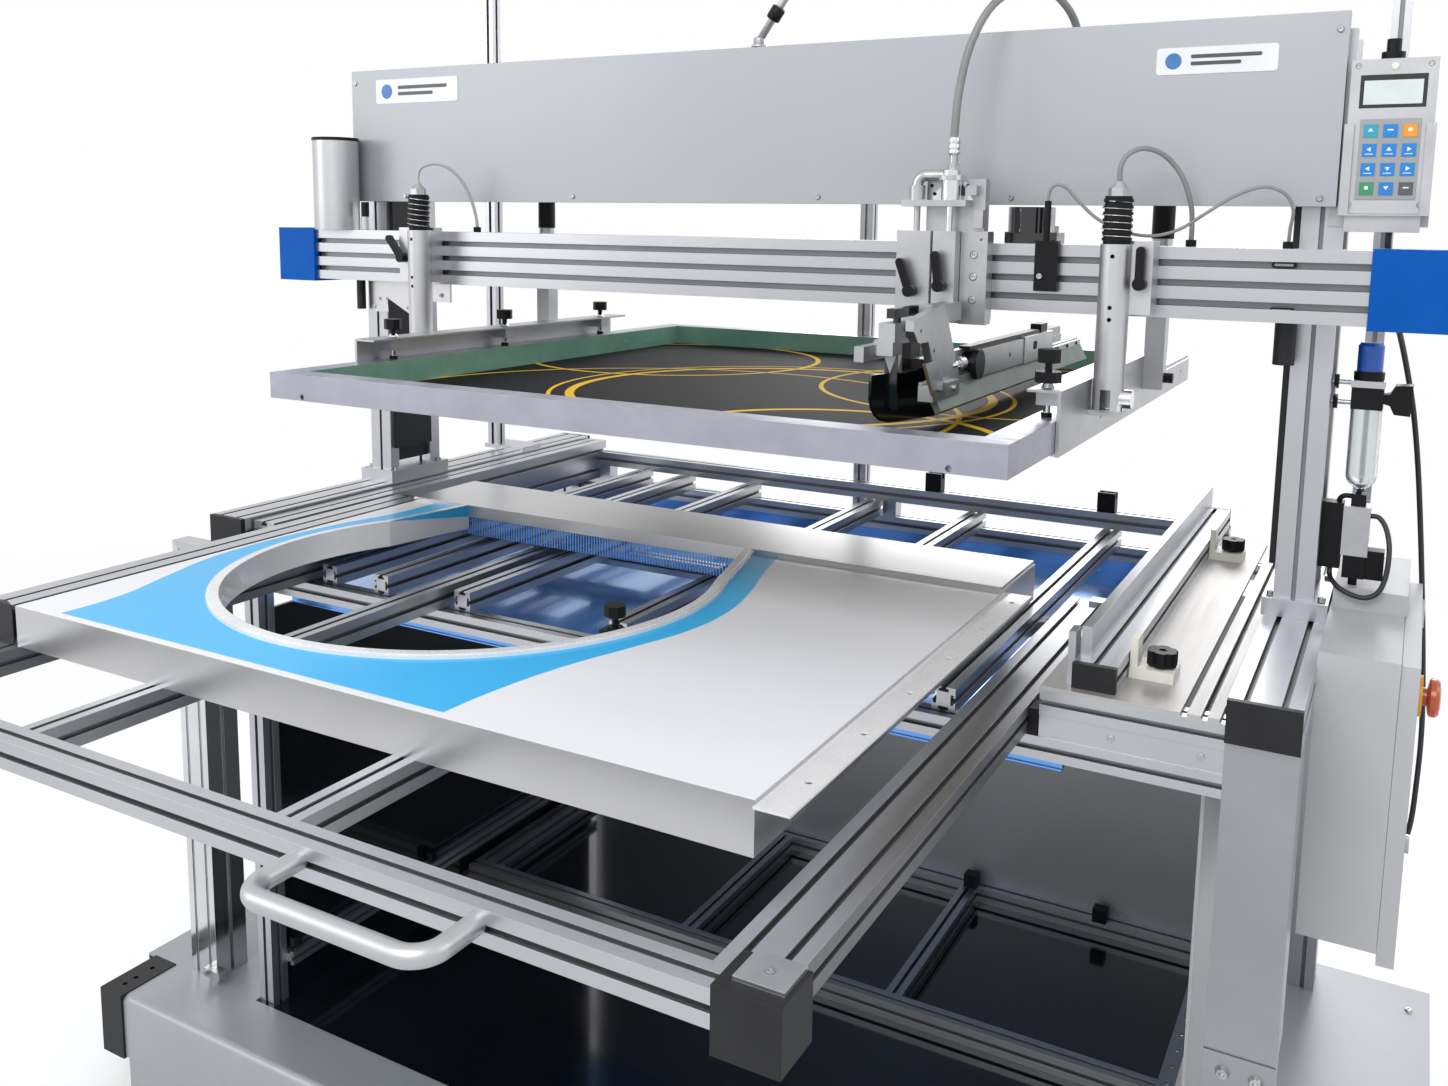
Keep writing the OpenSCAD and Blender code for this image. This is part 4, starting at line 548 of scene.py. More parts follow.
# %% Carriage, blades and pull-out
dress("carriage", satin, (chrome, (317, 199, 1444.2), (347.5, 229, 1480.2)),
      (zinc, (318, 206, 1480.3), (342, 230, 1505)), (zinc, (276, 202, 1462.2), (323, 224, 1482)),
      (black_plastic, (262, 241.6, 1290), (379, 267, 1308.8)))
dress("squeegee_holder", satin,
      (chrome, (325.8, 205.8, 1406.2), (334.2, 214.2, 1470)),
      (black_cap, (340.5, 217, 1220), (369.5, 237.9, 1260)),
      (black_cap, (366.1, 217, 1220), (369.5, 255.2, 1260)),
      (black_plastic, (347, 211, 1257.2), (363, 541.9, 1265)),
      (black_plastic, (351, 5, 1266.9), (363, 37, 1284)),
      (black_plastic, (345, 541, 1257.5), (363, 577, 1272)),
      (chrome, (352, 150.2, 1239), (364, 217, 1251)),
      (zinc, (368.2, 60, 1215), (379, 90, 1240)))
dress("squeegee_blade", green_rubber)
dress("flood_bar", gloss_black,
      (satin, (262, 205.5, 1288.5), (308, 226, 1407)), (satin, (262, 205.5, 1406), (300, 226, 1445)),
      (satin, (291.5, 101.5, 1271.5), (307.5, 226, 1292.5)),
      (satin, (307.5, 43.5, 1277.5), (328.5, 104.5, 1301.5)),
      (satin, (295.5, 38.5, 1263.5), (328.5, 157.5, 1280.5)),
      (satin, (284.5, 27.5, 1255.5), (297.5, 124.5, 1274.5)),
      (satin, (296.5, 92.5, 1251.5), (313.5, 97.5, 1267.5)),
      (satin, (299.5, 94.5, 1251.4), (318.5, 154.5, 1265.5)))
dress("pull_frame", aluminium["y"], (aluminium["x"], (-700, -611, 860), (600, -579, 905)),
      slots("x", (-606, -610, 870), (468, -580, 900)),
      *[slots("y", (x, -580, 870), (x + 70, 430, 900)) for x in (-640, 452)],
      *[slots("y", (x, -580, 870), (x + 28, 430, 900)) for x in (-349, 16)],
      slots("x", (-640, 402, 840.5), (522, 430, 866)),
      (black_cap, (467.9, -613, 850), (523, -560, 905.1)),
      (black_cap, (-651, -613, 850), (-605.9, -560, 905.1)),
      (black_plastic, (-20, -60, 880), (40, -20, 912)),
      (satin, (470, -602, 905.2), (530, -560, 909)),
      (satin, (-650, -602, 905.2), (-600, -560, 909)))
dress("pull_handle", tube_metal)
dress("stop_rail", aluminium["y"], slots("y", (-640, -432, 900), (-590, 250, 950)),
      (black_cap, (-645, -441, 899), (-585, -431.9, 951)),
      (black_cap, (-645, 249.9, 899), (-585, 260, 951)))
dress("table_clamp", black_plastic, (chrome, (-20, -60, 900.9), (30, -20, 909.2)))
for star in ("star_knob_1", "star_knob_2"):
    dress(star, black_plastic, (chrome, (600, 0, 925), (680, 900, 939.4)))
print("dressed the moving parts")


# %% [markdown]
# The printed sheet on the table is the workpiece: white enamelled steel with a bright blue
# field round the cut-out, and a bare steel band at the rear. The field is as wide as a short
# table of half widths says, which a Float Curve node turns into a smooth edge: no picture.

# %% Enamel with a blue field
def distance_from(tree, place, centre):
    """Horizontal distance in metres from a vertical axis at centre, in millimetres."""
    flat = add(tree, "ShaderNodeVectorMath", {1: (1, 1, 0)}, {0: place}, operation="MULTIPLY")
    axis = (centre[0] / 1000, centre[1] / 1000, 0)
    return add(tree, "ShaderNodeVectorMath", {1: axis}, {0: flat.outputs[0]},
               operation="DISTANCE").outputs["Value"]


# printed enamel and fabric change colour over about a millimetre
PRINT_EDGE = 0.0006
FIELD_FRONT = 0.429
HOLE = (-213, -45.5)
# how far the blue field reaches left and right of the cut-out's middle, along the panel
FIELD = ((-434, 300, 284), (-352, 303, 291), (-265, 330, 309), (-180, 356, 337), (-100, 364, 360),
         (-20, 362, 364), (60, 352, 350), (146, 332, 325), (239, 330, 302))
LEFT_COLUMN, RIGHT_COLUMN = 1, 2


def reach(tree, along, column):
    """The field's width from its table, as a smooth curve over the panel's length."""
    width = add(tree, "ShaderNodeFloatCurve", links={"Value": along})
    line = width.mapping.curves[0]
    span = FIELD[-1][0] - FIELD[0][0]
    line.points[0].location = (0, FIELD[0][column] / 1000)
    line.points[1].location = (1, FIELD[-1][column] / 1000)
    for row in FIELD[1:-1]:
        line.points.new((row[0] - FIELD[0][0]) / span, row[column] / 1000)
    width.mapping.update()
    return width.outputs[0]


def enamel():
    material, tree, shader, place = start_material("white enamel, screen printed", coat=0.12)
    white = patches(tree, place, "#F4F5FA", "#EDEFF6", 400)
    blue = patches(tree, place, "#3FBFFB", "#37B9F8", 300)
    parts = add(tree, "ShaderNodeSeparateXYZ", links={0: place})
    along = add(tree, "ShaderNodeMapRange",
                {"From Min": FIELD[0][0] / 1000, "From Max": FIELD[-1][0] / 1000},
                {"Value": parts.outputs["Y"]}).outputs[0]
    off = add(tree, "ShaderNodeMath", {1: HOLE[0] / 1000}, {0: parts.outputs["X"]},
              operation="SUBTRACT")
    right = add(tree, "ShaderNodeMath", links={
        0: off.outputs[0], 1: reach(tree, along, RIGHT_COLUMN)}, operation="SUBTRACT")
    far_left = add(tree, "ShaderNodeMath", links={
        0: off.outputs[0], 1: reach(tree, along, LEFT_COLUMN)}, operation="ADD")
    left = add(tree, "ShaderNodeMath", {1: -1.0}, {0: far_left.outputs[0]}, operation="MULTIPLY")
    over = add(tree, "ShaderNodeMath", links={0: left.outputs[0], 1: right.outputs[0]},
               operation="MAXIMUM")
    front = add(tree, "ShaderNodeMath", {1: -1.0}, {0: parts.outputs["Y"]}, operation="MULTIPLY")
    within = add(tree, "ShaderNodeMapRange", {"From Min": PRINT_EDGE, "From Max": -PRINT_EDGE},
                 {"Value": over.outputs[0]})
    behind = add(tree, "ShaderNodeMapRange",
                 {"From Min": FIELD_FRONT + PRINT_EDGE, "From Max": FIELD_FRONT - PRINT_EDGE},
                 {"Value": front.outputs[0]})
    mask = add(tree, "ShaderNodeMath", links={0: within.outputs[0], 1: behind.outputs[0]},
               operation="MULTIPLY")
    colour = add(tree, "ShaderNodeMix", links={0: mask.outputs[0], MIX_A: white, MIX_B: blue},
                 data_type="RGBA").outputs[MIX_OUT]
    surface(tree, shader, place, colour, 0.40, (1.5, 1.5, 1.5), 0.003, 0.03, 0.8)
    return material


white_enamel = enamel()
rim_white = finish("white enamelled rim", "#F0F0F2", "#E4E5E8", 0.24, grain=(3, 3, 3),
                   bump=0.005, patch=80, coat=0.4, edge=2.0)
BAND = 238.9
dress("panel_blank", white_enamel,
      (steel["x"], (-600, -441, 899), (420, -438, 949.9)),
      (steel["x"], (-600, 386, 899), (420, 392, 949.9)),
      (steel["y"], (-584, -441, 899), (-580.9, 392, 949.9)),
      (steel["y"], (408, -441, 899), (411, 392, 949.9)),
      (rim_white, (HOLE[0] - 360, HOLE[1] - 360, 950.2), (HOLE[0] + 360, BAND, 956)),
      (rim_white, (HOLE[0] - 322, HOLE[1] - 322, 915), (HOLE[0] + 322, BAND, 947.9)),
      (rim_white, (410.1, -445, 930), (446, 260, 947.5)),
      (steel["x"], (-600, BAND, 935.5), (420, 400, 960)))
print("dressed the workpiece")

# %% [markdown]
# The screen is a welded aluminium frame with polyester fabric glued below it. Most of the
# fabric is closed with dark emulsion; the open stencil shows as yellow lines and arcs. Green
# tape seals the inner walls. The stencil here is a plain set of arcs of its own. The threads
# of such fabric lie about a tenth of a millimetre apart, so their grain is drawn at 1.6 mm.

# %% Screen
def fabric():
    material, tree, shader, place = start_material("polyester screen fabric", shine=0.06)
    dark = patches(tree, place, "#141517", "#0E0F11", 260)
    yellow = rgb("#F0C02C")
    lines = None
    for centre, radius, width in (((40, 330), 0.305, 0.013), ((40, 330), 0.335, 0.006),
                                  ((-60, 120), 0.420, 0.007), ((330, 560), 0.300, 0.007),
                                  ((-330, 640), 0.260, 0.009), ((250, 20), 0.210, 0.012)):
        away = distance_from(tree, place, centre)
        gap = add(tree, "ShaderNodeMath", {1: radius}, {0: away}, operation="SUBTRACT")
        size = add(tree, "ShaderNodeMath", links={0: gap.outputs[0]}, operation="ABSOLUTE")
        line = add(tree, "ShaderNodeMapRange",
                   {"From Min": width / 2 + PRINT_EDGE, "From Max": width / 2 - PRINT_EDGE},
                   {"Value": size.outputs[0]}).outputs[0]
        lines = line if lines is None else add(
            tree, "ShaderNodeMath", links={0: lines, 1: line}, operation="MAXIMUM").outputs[0]
    colour = add(tree, "ShaderNodeMix", {MIX_B: yellow}, {0: lines, MIX_A: dark},
                 data_type="RGBA").outputs[MIX_OUT]
    surface(tree, shader, place, colour, 0.62, (1.6, 1.6, 1.6), 0.02, 0.06, 0.4)
    return material


dress("screen_mesh", fabric())
tape = finish("green sealing tape", "#86B3A2", "#6FA08D", 0.22, grain=(40, 40, 12), bump=0.05,
              patch=90, coat=0.5)
dress("screen_frame", worn_aluminium,
      (tape, (-477.5, -81, 1160), (-475, 889, 1210)), (tape, (475, -81, 1160), (477.5, 889, 1210)),
      (tape, (-478, -81, 1160), (478, -78, 1210)), (tape, (-478, 885, 1160), (478, 889, 1210)))
print("dressed the screen")

# %% [markdown]
# The hand pendant has a textured grey case, a display and twelve foil keys. Each key gets
# its colour by its box; the signs on them are small raised strips, made further down.

# %% Pendant
display = finish("liquid crystal display", "#DCE3E2", "#CFD8D8", 0.12, grain=(8, 8, 8),
                 bump=0.004, patch=30, coat=0.8)
KEY_COLOURS = {"blue": "#1D7FD1", "teal": "#2D9DB5", "orange": "#E59A2C", "green": "#3F8F63",
               "dark": "#55595E"}
key_foil = {n: finish("key foil, " + n, c, c, 0.30, grain=(1, 1, 1), bump=0.01, patch=20)
            for n, c in KEY_COLOURS.items()}
KEY_ROWS = (("green", "blue", "dark"), ("blue", "blue", "blue"), ("blue", "blue", "blue"),
            ("teal", "blue", "orange"))
PEND = (762, 291, 1436)
KEY_STEP_X, KEY_STEP_Z = 19.5, 21
keys = []
for j, row in enumerate(KEY_ROWS):
    for i, colour in enumerate(row):
        x, z = PEND[0] + 17 + i * KEY_STEP_X, PEND[2] + 17 + j * KEY_STEP_Z
        keys.append((key_foil[colour], (x - 1, PEND[1] - 2, z - 1),
                     (x + 15, PEND[1] - 0.95, z + 15)))
keypad = finish("keypad foil, grey", "#9EA1A3", "#969A9C", 0.34, grain=(1, 1, 1), bump=0.008,
                patch=30)
dress("pendant", case_plastic,
      (keypad, (PEND[0] + 12.5, PEND[1] - 1, PEND[2] + 11),
       (PEND[0] + 73.5, PEND[1] - 0.1, PEND[2] + 101)),
      (gloss_black, (PEND[0] + 9.5, PEND[1] + 1.3, PEND[2] + 111.5),
       (PEND[0] + 76.5, PEND[1] + 1.7, PEND[2] + 148.5)),
      (display, (PEND[0] + 13, PEND[1] + 0.7, PEND[2] + 115.5),
       (PEND[0] + 73, PEND[1] + 1.2, PEND[2] + 142.5)),
      (black_plastic, (785, 285, PEND[2] + 165.1), (825, 325, PEND[2] + 200)), *keys)
print("keys:", len(keys))

# %% [markdown]
# A cord's jacket is soft PVC: dull, with a slight waviness from the extruder. The leads on the
# head and the air hose are grey, the loop at the valve and the pendant's lead are black.

# %% Jackets of the cords
JACKETS = {"lead_left": grey_cable, "lead_right": dark_cable, "sensor_lead": dark_cable,
           "air_hose": dark_cable, "air_hose_top": dark_cable,
           "valve_loop": black_cable, "pendant_lead": black_cable}
for name, jacket in JACKETS.items():
    cords[name].data.materials.clear()
    cords[name].data.materials.append(jacket)
print("jackets:", len(JACKETS))

# %% [markdown]
# Screws repeat all over the machine, so Geometry Nodes make them. A head starts as a short
# cylinder; its top face is drawn in for the chamfer, drawn in again for the edge of the
# socket and pushed down for the socket itself. One point stands for one screw, with a vector
# for the way it faces. The tree ends in Realize Instances, because only real faces export.

# %% Helpers for Geometry Nodes
def new_tree(name, **sizes):
    """A tree with a geometry socket and one named number for each size, in millimetres."""
    tree = bpy.data.node_groups.new(name, "GeometryNodeTree")
    tree.interface.new_socket("Geometry", in_out="INPUT", socket_type="NodeSocketGeometry")
    for size, default in sizes.items():
        socket = tree.interface.new_socket(size, in_out="INPUT", socket_type="NodeSocketFloat")
        socket.default_value = default
    tree.interface.new_socket("Geometry", in_out="OUTPUT", socket_type="NodeSocketGeometry")
    return tree, add(tree, "NodeGroupInput").outputs


# one millimetre and half of one, in metres: a diameter times the latter is a radius
MM, HALF_MM = 0.001, 0.0005


def grow(name, tree, points, facings, **sizes):
    """Runs the tree on points, in millimetres, and keeps the result as a plain mesh."""
    mesh = bpy.data.meshes.new(name + "_points")
    mesh.from_pydata([mm(*p) for p in points], [], [])
    facing = mesh.attributes.new("facing", "FLOAT_VECTOR", "POINT")
    facing.data.foreach_set("vector", [float(c) for f in facings for c in f])
    piece = bpy.data.objects.new(name, mesh)
    bpy.context.scene.collection.objects.link(piece)
    modifier = piece.modifiers.new("build", "NODES")
    modifier.node_group = tree
    inputs = {i.name: i.identifier for i in tree.interface.items_tree if i.in_out == "INPUT"}
    for size, value in sizes.items():
        modifier[inputs[size]] = float(value)
    bpy.context.view_layer.update()
    seen = piece.evaluated_get(bpy.context.evaluated_depsgraph_get())
    result = bpy.data.meshes.new_from_object(seen)
    piece.modifiers.clear()
    piece.data = result
    result.name = name
    return piece


def place_and_end(tree, inputs, shape, material):
    """Puts the shape on every point, turned to its facing, and ends the tree."""
    vector = add(tree, "GeometryNodeInputNamedAttribute", {"Name": "facing"},
                 data_type="FLOAT_VECTOR").outputs["Attribute"]
    turn = add(tree, "FunctionNodeAlignRotationToVector", links={"Vector": vector}, axis="Z")
    spread = add(tree, "GeometryNodeInstanceOnPoints", links={
        "Points": inputs["Geometry"], "Instance": shape, "Rotation": turn.outputs[0]})
    real = add(tree, "GeometryNodeRealizeInstances", links={0: spread.outputs[0]})
    coat = add(tree, "GeometryNodeSetMaterial", links={"Geometry": real.outputs[0]})
    coat.inputs["Material"].default_value = material
    add(tree, "NodeGroupOutput", links={0: coat.outputs[0]})


# %% Socket screws
def screw_tree(name, material):
    tree, inputs = new_tree(name, Head=9, Height=3, Socket=4.5)
    radius = add(tree, "ShaderNodeMath", {1: HALF_MM}, {0: inputs["Head"]},
                 operation="MULTIPLY").outputs[0]
    tall = add(tree, "ShaderNodeMath", {1: MM}, {0: inputs["Height"]},
               operation="MULTIPLY").outputs[0]
    rise = add(tree, "ShaderNodeMath", {1: 0.15}, {0: tall}, operation="MULTIPLY")
    head = add(tree, "GeometryNodeMeshCylinder", {"Vertices": 24},
               {"Radius": radius, "Depth": tall}, fill_type="NGON")
    chamfer = add(tree, "GeometryNodeExtrudeMesh", links={
        "Mesh": head.outputs["Mesh"], "Selection": head.outputs["Top"],
        "Offset Scale": rise.outputs[0]})
    drawn = add(tree, "GeometryNodeScaleElements", {"Scale": 0.86}, {
        "Geometry": chamfer.outputs["Mesh"], "Selection": chamfer.outputs["Top"]})
    rim = add(tree, "GeometryNodeExtrudeMesh", {"Offset Scale": 0.0}, {
        "Mesh": drawn.outputs[0], "Selection": chamfer.outputs["Top"]})
    ratio = add(tree, "ShaderNodeMath", links={0: inputs["Socket"], 1: inputs["Head"]},
                operation="DIVIDE").outputs[0]
    inset = add(tree, "ShaderNodeMath", {1: 1.16}, {0: ratio}, operation="MULTIPLY")
    narrow = add(tree, "GeometryNodeScaleElements", links={
        "Geometry": rim.outputs["Mesh"], "Selection": rim.outputs["Top"],
        "Scale": inset.outputs[0]})
    deep = add(tree, "ShaderNodeMath", {1: -0.75}, {0: tall}, operation="MULTIPLY")
    sunk = add(tree, "GeometryNodeExtrudeMesh", links={
        "Mesh": narrow.outputs[0], "Selection": rim.outputs["Top"],
        "Offset Scale": deep.outputs[0]})
    half = add(tree, "ShaderNodeMath", {1: 0.5}, {0: tall}, operation="MULTIPLY")
    up = add(tree, "ShaderNodeCombineXYZ", links={"Z": half.outputs[0]})
    shape = add(tree, "GeometryNodeTransform", links={
        "Geometry": sunk.outputs["Mesh"], "Translation": up.outputs[0]})
    place_and_end(tree, inputs, shape.outputs[0], material)
    return tree


bright_screw = screw_tree("socket screw, zinc plated", zinc)
black_screw = screw_tree("socket screw, black", black_plastic)
FRONT, UP, RIGHT = (0, -1, 0), (0, 0, 1), (1, 0, 0)
SCREWS = {
    "carriage_screws": (bright_screw, "carriage", 9, 2.6, FRONT,
                        [(361, 218.9, z) for z in (1321, 1350, 1377)]),
    "carriage_small_screws": (black_screw, "carriage", 4.4, 1.2, FRONT,
                              [(304, 226, 1452), (300, 226, 1462), (347, 226, 1462),
                               (311, 212, 1330), (311, 212, 1372)]),
    "sensor_screw": (bright_screw, "head", 7, 2.2, FRONT, [(440, 230, 1353)]),
    "bracket_screws": (bright_screw, "head", 7, 2.2, FRONT,
                       [(-579, 302, 1286), (-579, 302, 1308), (-652, 302, 1262),
                        (-730, 302, 1262), (754, 302, 1320), (754, 302, 1380),
                        (-754, 302, 1330), (-754, 302, 1380)]),
    "corner_screws": (bright_screw, "pull_table", 7.4, 1.4, UP,
                      [(498, -582, 907), (-626, -582, 907)]),
    "foot_screws": (bright_screw, "frame", 9, 4, UP,
                    [(s * 773, y, 972) for s in (-1, 1) for y in (330, 440)]
                    + [(s * 716, y, 972) for s in (-1, 1) for y in (330, 440)]),
    "strip_screws": (bright_screw, "frame", 8, 1.6, FRONT,
                     [(600, 2, 881), (690, 2, 881)]),
    "clamp_bar_screws": (black_screw, "squeegee", 5.5, 1.5, RIGHT,
                         [(362, y, 1226.5) for y in (640, 700, 760)]),
    "pendant_screws": (bright_screw, "pendant", 5.4, 1.2, FRONT,
                       [(PEND[0] + x, PEND[1] + 1.9, PEND[2] + z)
                        for x in (7, 78) for z in (6, 158)]),
}
for name, (tree, body, wide, tall, way, places) in SCREWS.items():
    screws = grow(name, tree, places, [way] * len(places), Head=wide, Height=tall,
                  Socket=wide * 0.5)
    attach(screws, body)
print("screw groups:", len(SCREWS))

# %% [markdown]
# A black sleeve sits on each screen tube, bound with bright wire. The wire follows a rule, a
# helix, so a Spiral curve and Curve to Mesh make it. A number in millimetres sets each size.

# %% Binding wire
wire_metal = finish("bright binding wire", "#D9DADC", "#C4C6C9", 0.22, metallic=0.9,
                    grain=(1, 1, 1), bump=0.002, patch=12, edge=0.2)
tree, inputs = new_tree("binding wire", Radius=17.4, Wire=1.1, Rise=42, Turns=5)
radius = add(tree, "ShaderNodeMath", {1: MM}, {0: inputs["Radius"]},
             operation="MULTIPLY").outputs[0]
rise = add(tree, "ShaderNodeMath", {1: MM}, {0: inputs["Rise"]}, operation="MULTIPLY")
thin = add(tree, "ShaderNodeMath", {1: HALF_MM}, {0: inputs["Wire"]}, operation="MULTIPLY")
helix = add(tree, "GeometryNodeCurveSpiral", {"Resolution": 36}, {
    "Rotations": inputs["Turns"], "Start Radius": radius, "End Radius": radius,
    "Height": rise.outputs[0]})
section = add(tree, "GeometryNodeCurvePrimitiveCircle", {"Resolution": 8},
              {"Radius": thin.outputs[0]})
tube = add(tree, "GeometryNodeCurveToMesh", {"Fill Caps": True}, {
    "Curve": helix.outputs[0], "Profile Curve": section.outputs[0]})
place_and_end(tree, inputs, tube.outputs[0], wire_metal)
wire = grow("binding_wire", tree, [(-535, 205, 1401), (535, 205, 1401)],
            [(0.05, 0, 1), (-0.04, 0.02, 1)], Turns=5.3)
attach(wire, "head")
print("wire faces:", len(wire.data.polygons))

# %% [markdown]
# Under the rear band a ribbed film of blue plastic hangs into the cut-out. Its ribs are one
# small bar on each point of a row.

# %% Ribbed strip
film = finish("blue ribbed film", "#69ABFF", "#76B3FF", 0.20, grain=(60, 1, 30), bump=0.01,
              patch=90, coat=0.3)
tree, inputs = new_tree("ribs", Width=2.2, Depth=0.8, Tall=42)
size = add(tree, "ShaderNodeCombineXYZ",
           links={"X": inputs["Width"], "Y": inputs["Depth"], "Z": inputs["Tall"]})
metres = add(tree, "ShaderNodeVectorMath", {"Scale": MM}, {0: size.outputs[0]}, operation="SCALE")
bar = add(tree, "GeometryNodeMeshCube", links={"Size": metres.outputs[0]})
place_and_end(tree, inputs, bar.outputs[0], film)
LEFT, RIGHT_END, STEP = -488, 50, 5
row = [(x, 242.6, 927) for x in range(LEFT, RIGHT_END, STEP)]
ribs = grow("ribbed_strip", tree, row, [UP] * len(row))
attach(ribs, "panel")
print("ribs:", len(row))


# %% [markdown]
# The last small parts come from two kinds of outline. A plate is a flat outline pushed along
# a line, as a label or a key print is. A turned part is a stack of rings about an axis, as a
# ferrule or a collar is on the lathe. Both are closed all round, as the real pieces are.

# %% Plates and turned parts
import bmesh


def settle(name, builder, body, material):
    """Turns the built shape into an object with its material, body and slot."""
    bmesh.ops.recalc_face_normals(builder, faces=list(builder.faces))
    mesh = bpy.data.meshes.new(name)
    builder.to_mesh(mesh)
    builder.free()
    mesh.materials.append(material)
    piece = bpy.data.objects.new(name, mesh)
    bpy.context.scene.collection.objects.link(piece)
    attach(piece, body)
    return piece


def plate(name, body, material, outline, way, depth):
    """A closed plate: outline points in millimetres, pushed along way by depth."""
    builder = bmesh.new()
    face = builder.faces.new([builder.verts.new(mm(*p)) for p in outline])
    pushed = bmesh.ops.extrude_face_region(builder, geom=[face])
    moved = [v for v in pushed["geom"] if isinstance(v, bmesh.types.BMVert)]
    bmesh.ops.translate(builder, verts=moved, vec=Vector(way) * depth / 1000)
    return settle(name, builder, body, material)


def turned(name, body, material, rings, centre, way=(0, 0, 1), sides=24):
    """A turned part: rings of (radius, height) in millimetres about an axis at centre."""
    axis = Vector(way).normalized()
    side = axis.orthogonal().normalized()
    across = axis.cross(side)
    builder = bmesh.new()
    loops = []
    for radius, height in rings:
        loops.append([builder.verts.new((Vector(centre) + axis * height + (
            side * math.cos(a) + across * math.sin(a)) * radius) / 1000)
            for a in (2 * math.pi * k / sides for k in range(sides))])
    for low, high in zip(loops, loops[1:]):
        for k in range(sides):
            builder.faces.new((low[k], low[(k + 1) % sides], high[(k + 1) % sides], high[k]))
    builder.faces.new(list(reversed(loops[0])))
    builder.faces.new(loops[-1])
    for face in builder.faces:
        face.smooth = len(face.verts) == 4
    return settle(name, builder, body, material)


def rounded(x0, x1, z0, z1, r, y, corner=5):
    """A rectangle with round corners in the plane at y, seen from the front."""
    out = []
    for cx, cz, start in ((x1 - r, z0 + r, -90), (x1 - r, z1 - r, 0), (x0 + r, z1 - r, 90),
                          (x0 + r, z0 + r, 180)):
        for k in range(corner + 1):
            a = math.radians(start + 90 * k / corner)
            out.append((cx + r * math.cos(a), y, cz + r * math.sin(a)))
    return out


print("plate and turned parts are ready")

# %% [markdown]
# The two name places on the cover stay without a name. Each has its small white plate with a
# plain sign made of a ring and two bars, which stands for nothing.

# %% Plates on the cover
plate_white = finish("white printed label film", "#E6E7EA", "#DCDEE2", 0.34, grain=(2, 2, 2),
                     bump=0.004, patch=60, edge=0.4)
sign_grey = finish("dark grey print", "#4A4E55", "#42464C", 0.36, grain=(1, 1, 1), bump=0.002,
                   patch=20)
sign_blue = finish("blue print", "#3E78B8", "#386FAD", 0.36, grain=(1, 1, 1), bump=0.002,
                   patch=20)
COVER_PLATES = {"left": (-702, -526, 1600, 1639), "right": (552, 686, 1593, 1624)}
for side, (x0, x1, z0, z1) in COVER_PLATES.items():
    plate("cover_plate_" + side, "frame", plate_white,
          rounded(x0, x1, z0, z1, 4, 289.9), FRONT, 0.6)
    tall = z1 - z0
    turned("cover_ring_" + side, "frame", sign_blue,
           [(tall * 0.30, 0), (tall * 0.30, 0.3)], (x0 + tall * 0.62, 289.2, (z0 + z1) / 2), FRONT)
    for k, share in enumerate((0.92, 0.66)):
        z = z0 + tall * (0.58 - 0.26 * k)
        plate("cover_bar_%s_%d" % (side, k + 1), "frame", sign_grey,
              rounded(x0 + tall * 1.25, x0 + tall * 1.25 + (x1 - x0 - tall * 1.6) * share,
                      z, z + tall * 0.14, tall * 0.05, 289.2), FRONT, 0.25)
print("plates on the cover:", len(COVER_PLATES))

# %% [markdown]
# The foil keys of the pendant carry plain white signs: arrows, bars, a frame. They are thin
# raised prints, so each is a flat outline pushed out by a fifth of a millimetre.

# %% Signs on the keys
sign_white = finish("white key print", "#F2F4F5", "#E6E9EA", 0.35, grain=(1, 1, 1), bump=0.001,
                    patch=10)
SIGNS = {"up": [(-2.7, -1.6), (2.7, -1.6), (0, 2.7)], "down": [(-2.7, 1.6), (0, -2.7), (2.7, 1.6)],
         "left": [(1.6, -2.6), (1.6, 2.6), (-2.7, 0)],
         "right": [(-1.6, -2.6), (2.7, 0), (-1.6, 2.6)],
         "bar": [(-2.9, -0.8), (2.9, -0.8), (2.9, 0.8), (-2.9, 0.8)],
         "block": [(-1.9, -1.9), (1.9, -1.9), (1.9, 1.9), (-1.9, 1.9)]}
LAYOUT = (("block", "down", "bar"), ("left", "down", "right"), ("left", "up", "right"),
          ("up", "bar", "block"))
for j, line in enumerate(LAYOUT):
    for i, sign in enumerate(line):
        x, z = PEND[0] + 24 + i * KEY_STEP_X, PEND[2] + 25 + j * KEY_STEP_Z
        plate("key_sign_%d_%d" % (j + 1, i + 1), "pendant", sign_white,
              [(x + a, PEND[1] - 1.65, z + b) for a, b in SIGNS[sign]], FRONT, 0.25)
        if j in (1, 2):
            plate("key_line_%d_%d" % (j + 1, i + 1), "pendant", sign_white,
                  [(x + a, PEND[1] - 1.65, z + b) for a, b in
                   ((-4, -5.6), (4, -5.6), (4, -4.7), (-4, -4.7))], FRONT, 0.25)
turned("pendant_button", "pendant", white_plastic,
       [(4.2, 0), (4.2, 0.8), (3.2, 1.4)], (PEND[0] + 43, PEND[1] + 0.1, PEND[2] + 157), FRONT)
print("key signs:", sum(len(line) for line in LAYOUT))

# %% [markdown]
# What is left are small fittings: the crimped ferrule of the air hose, the collar where it
# goes into the portal, the slot nuts in the beam and the tube above the cover.

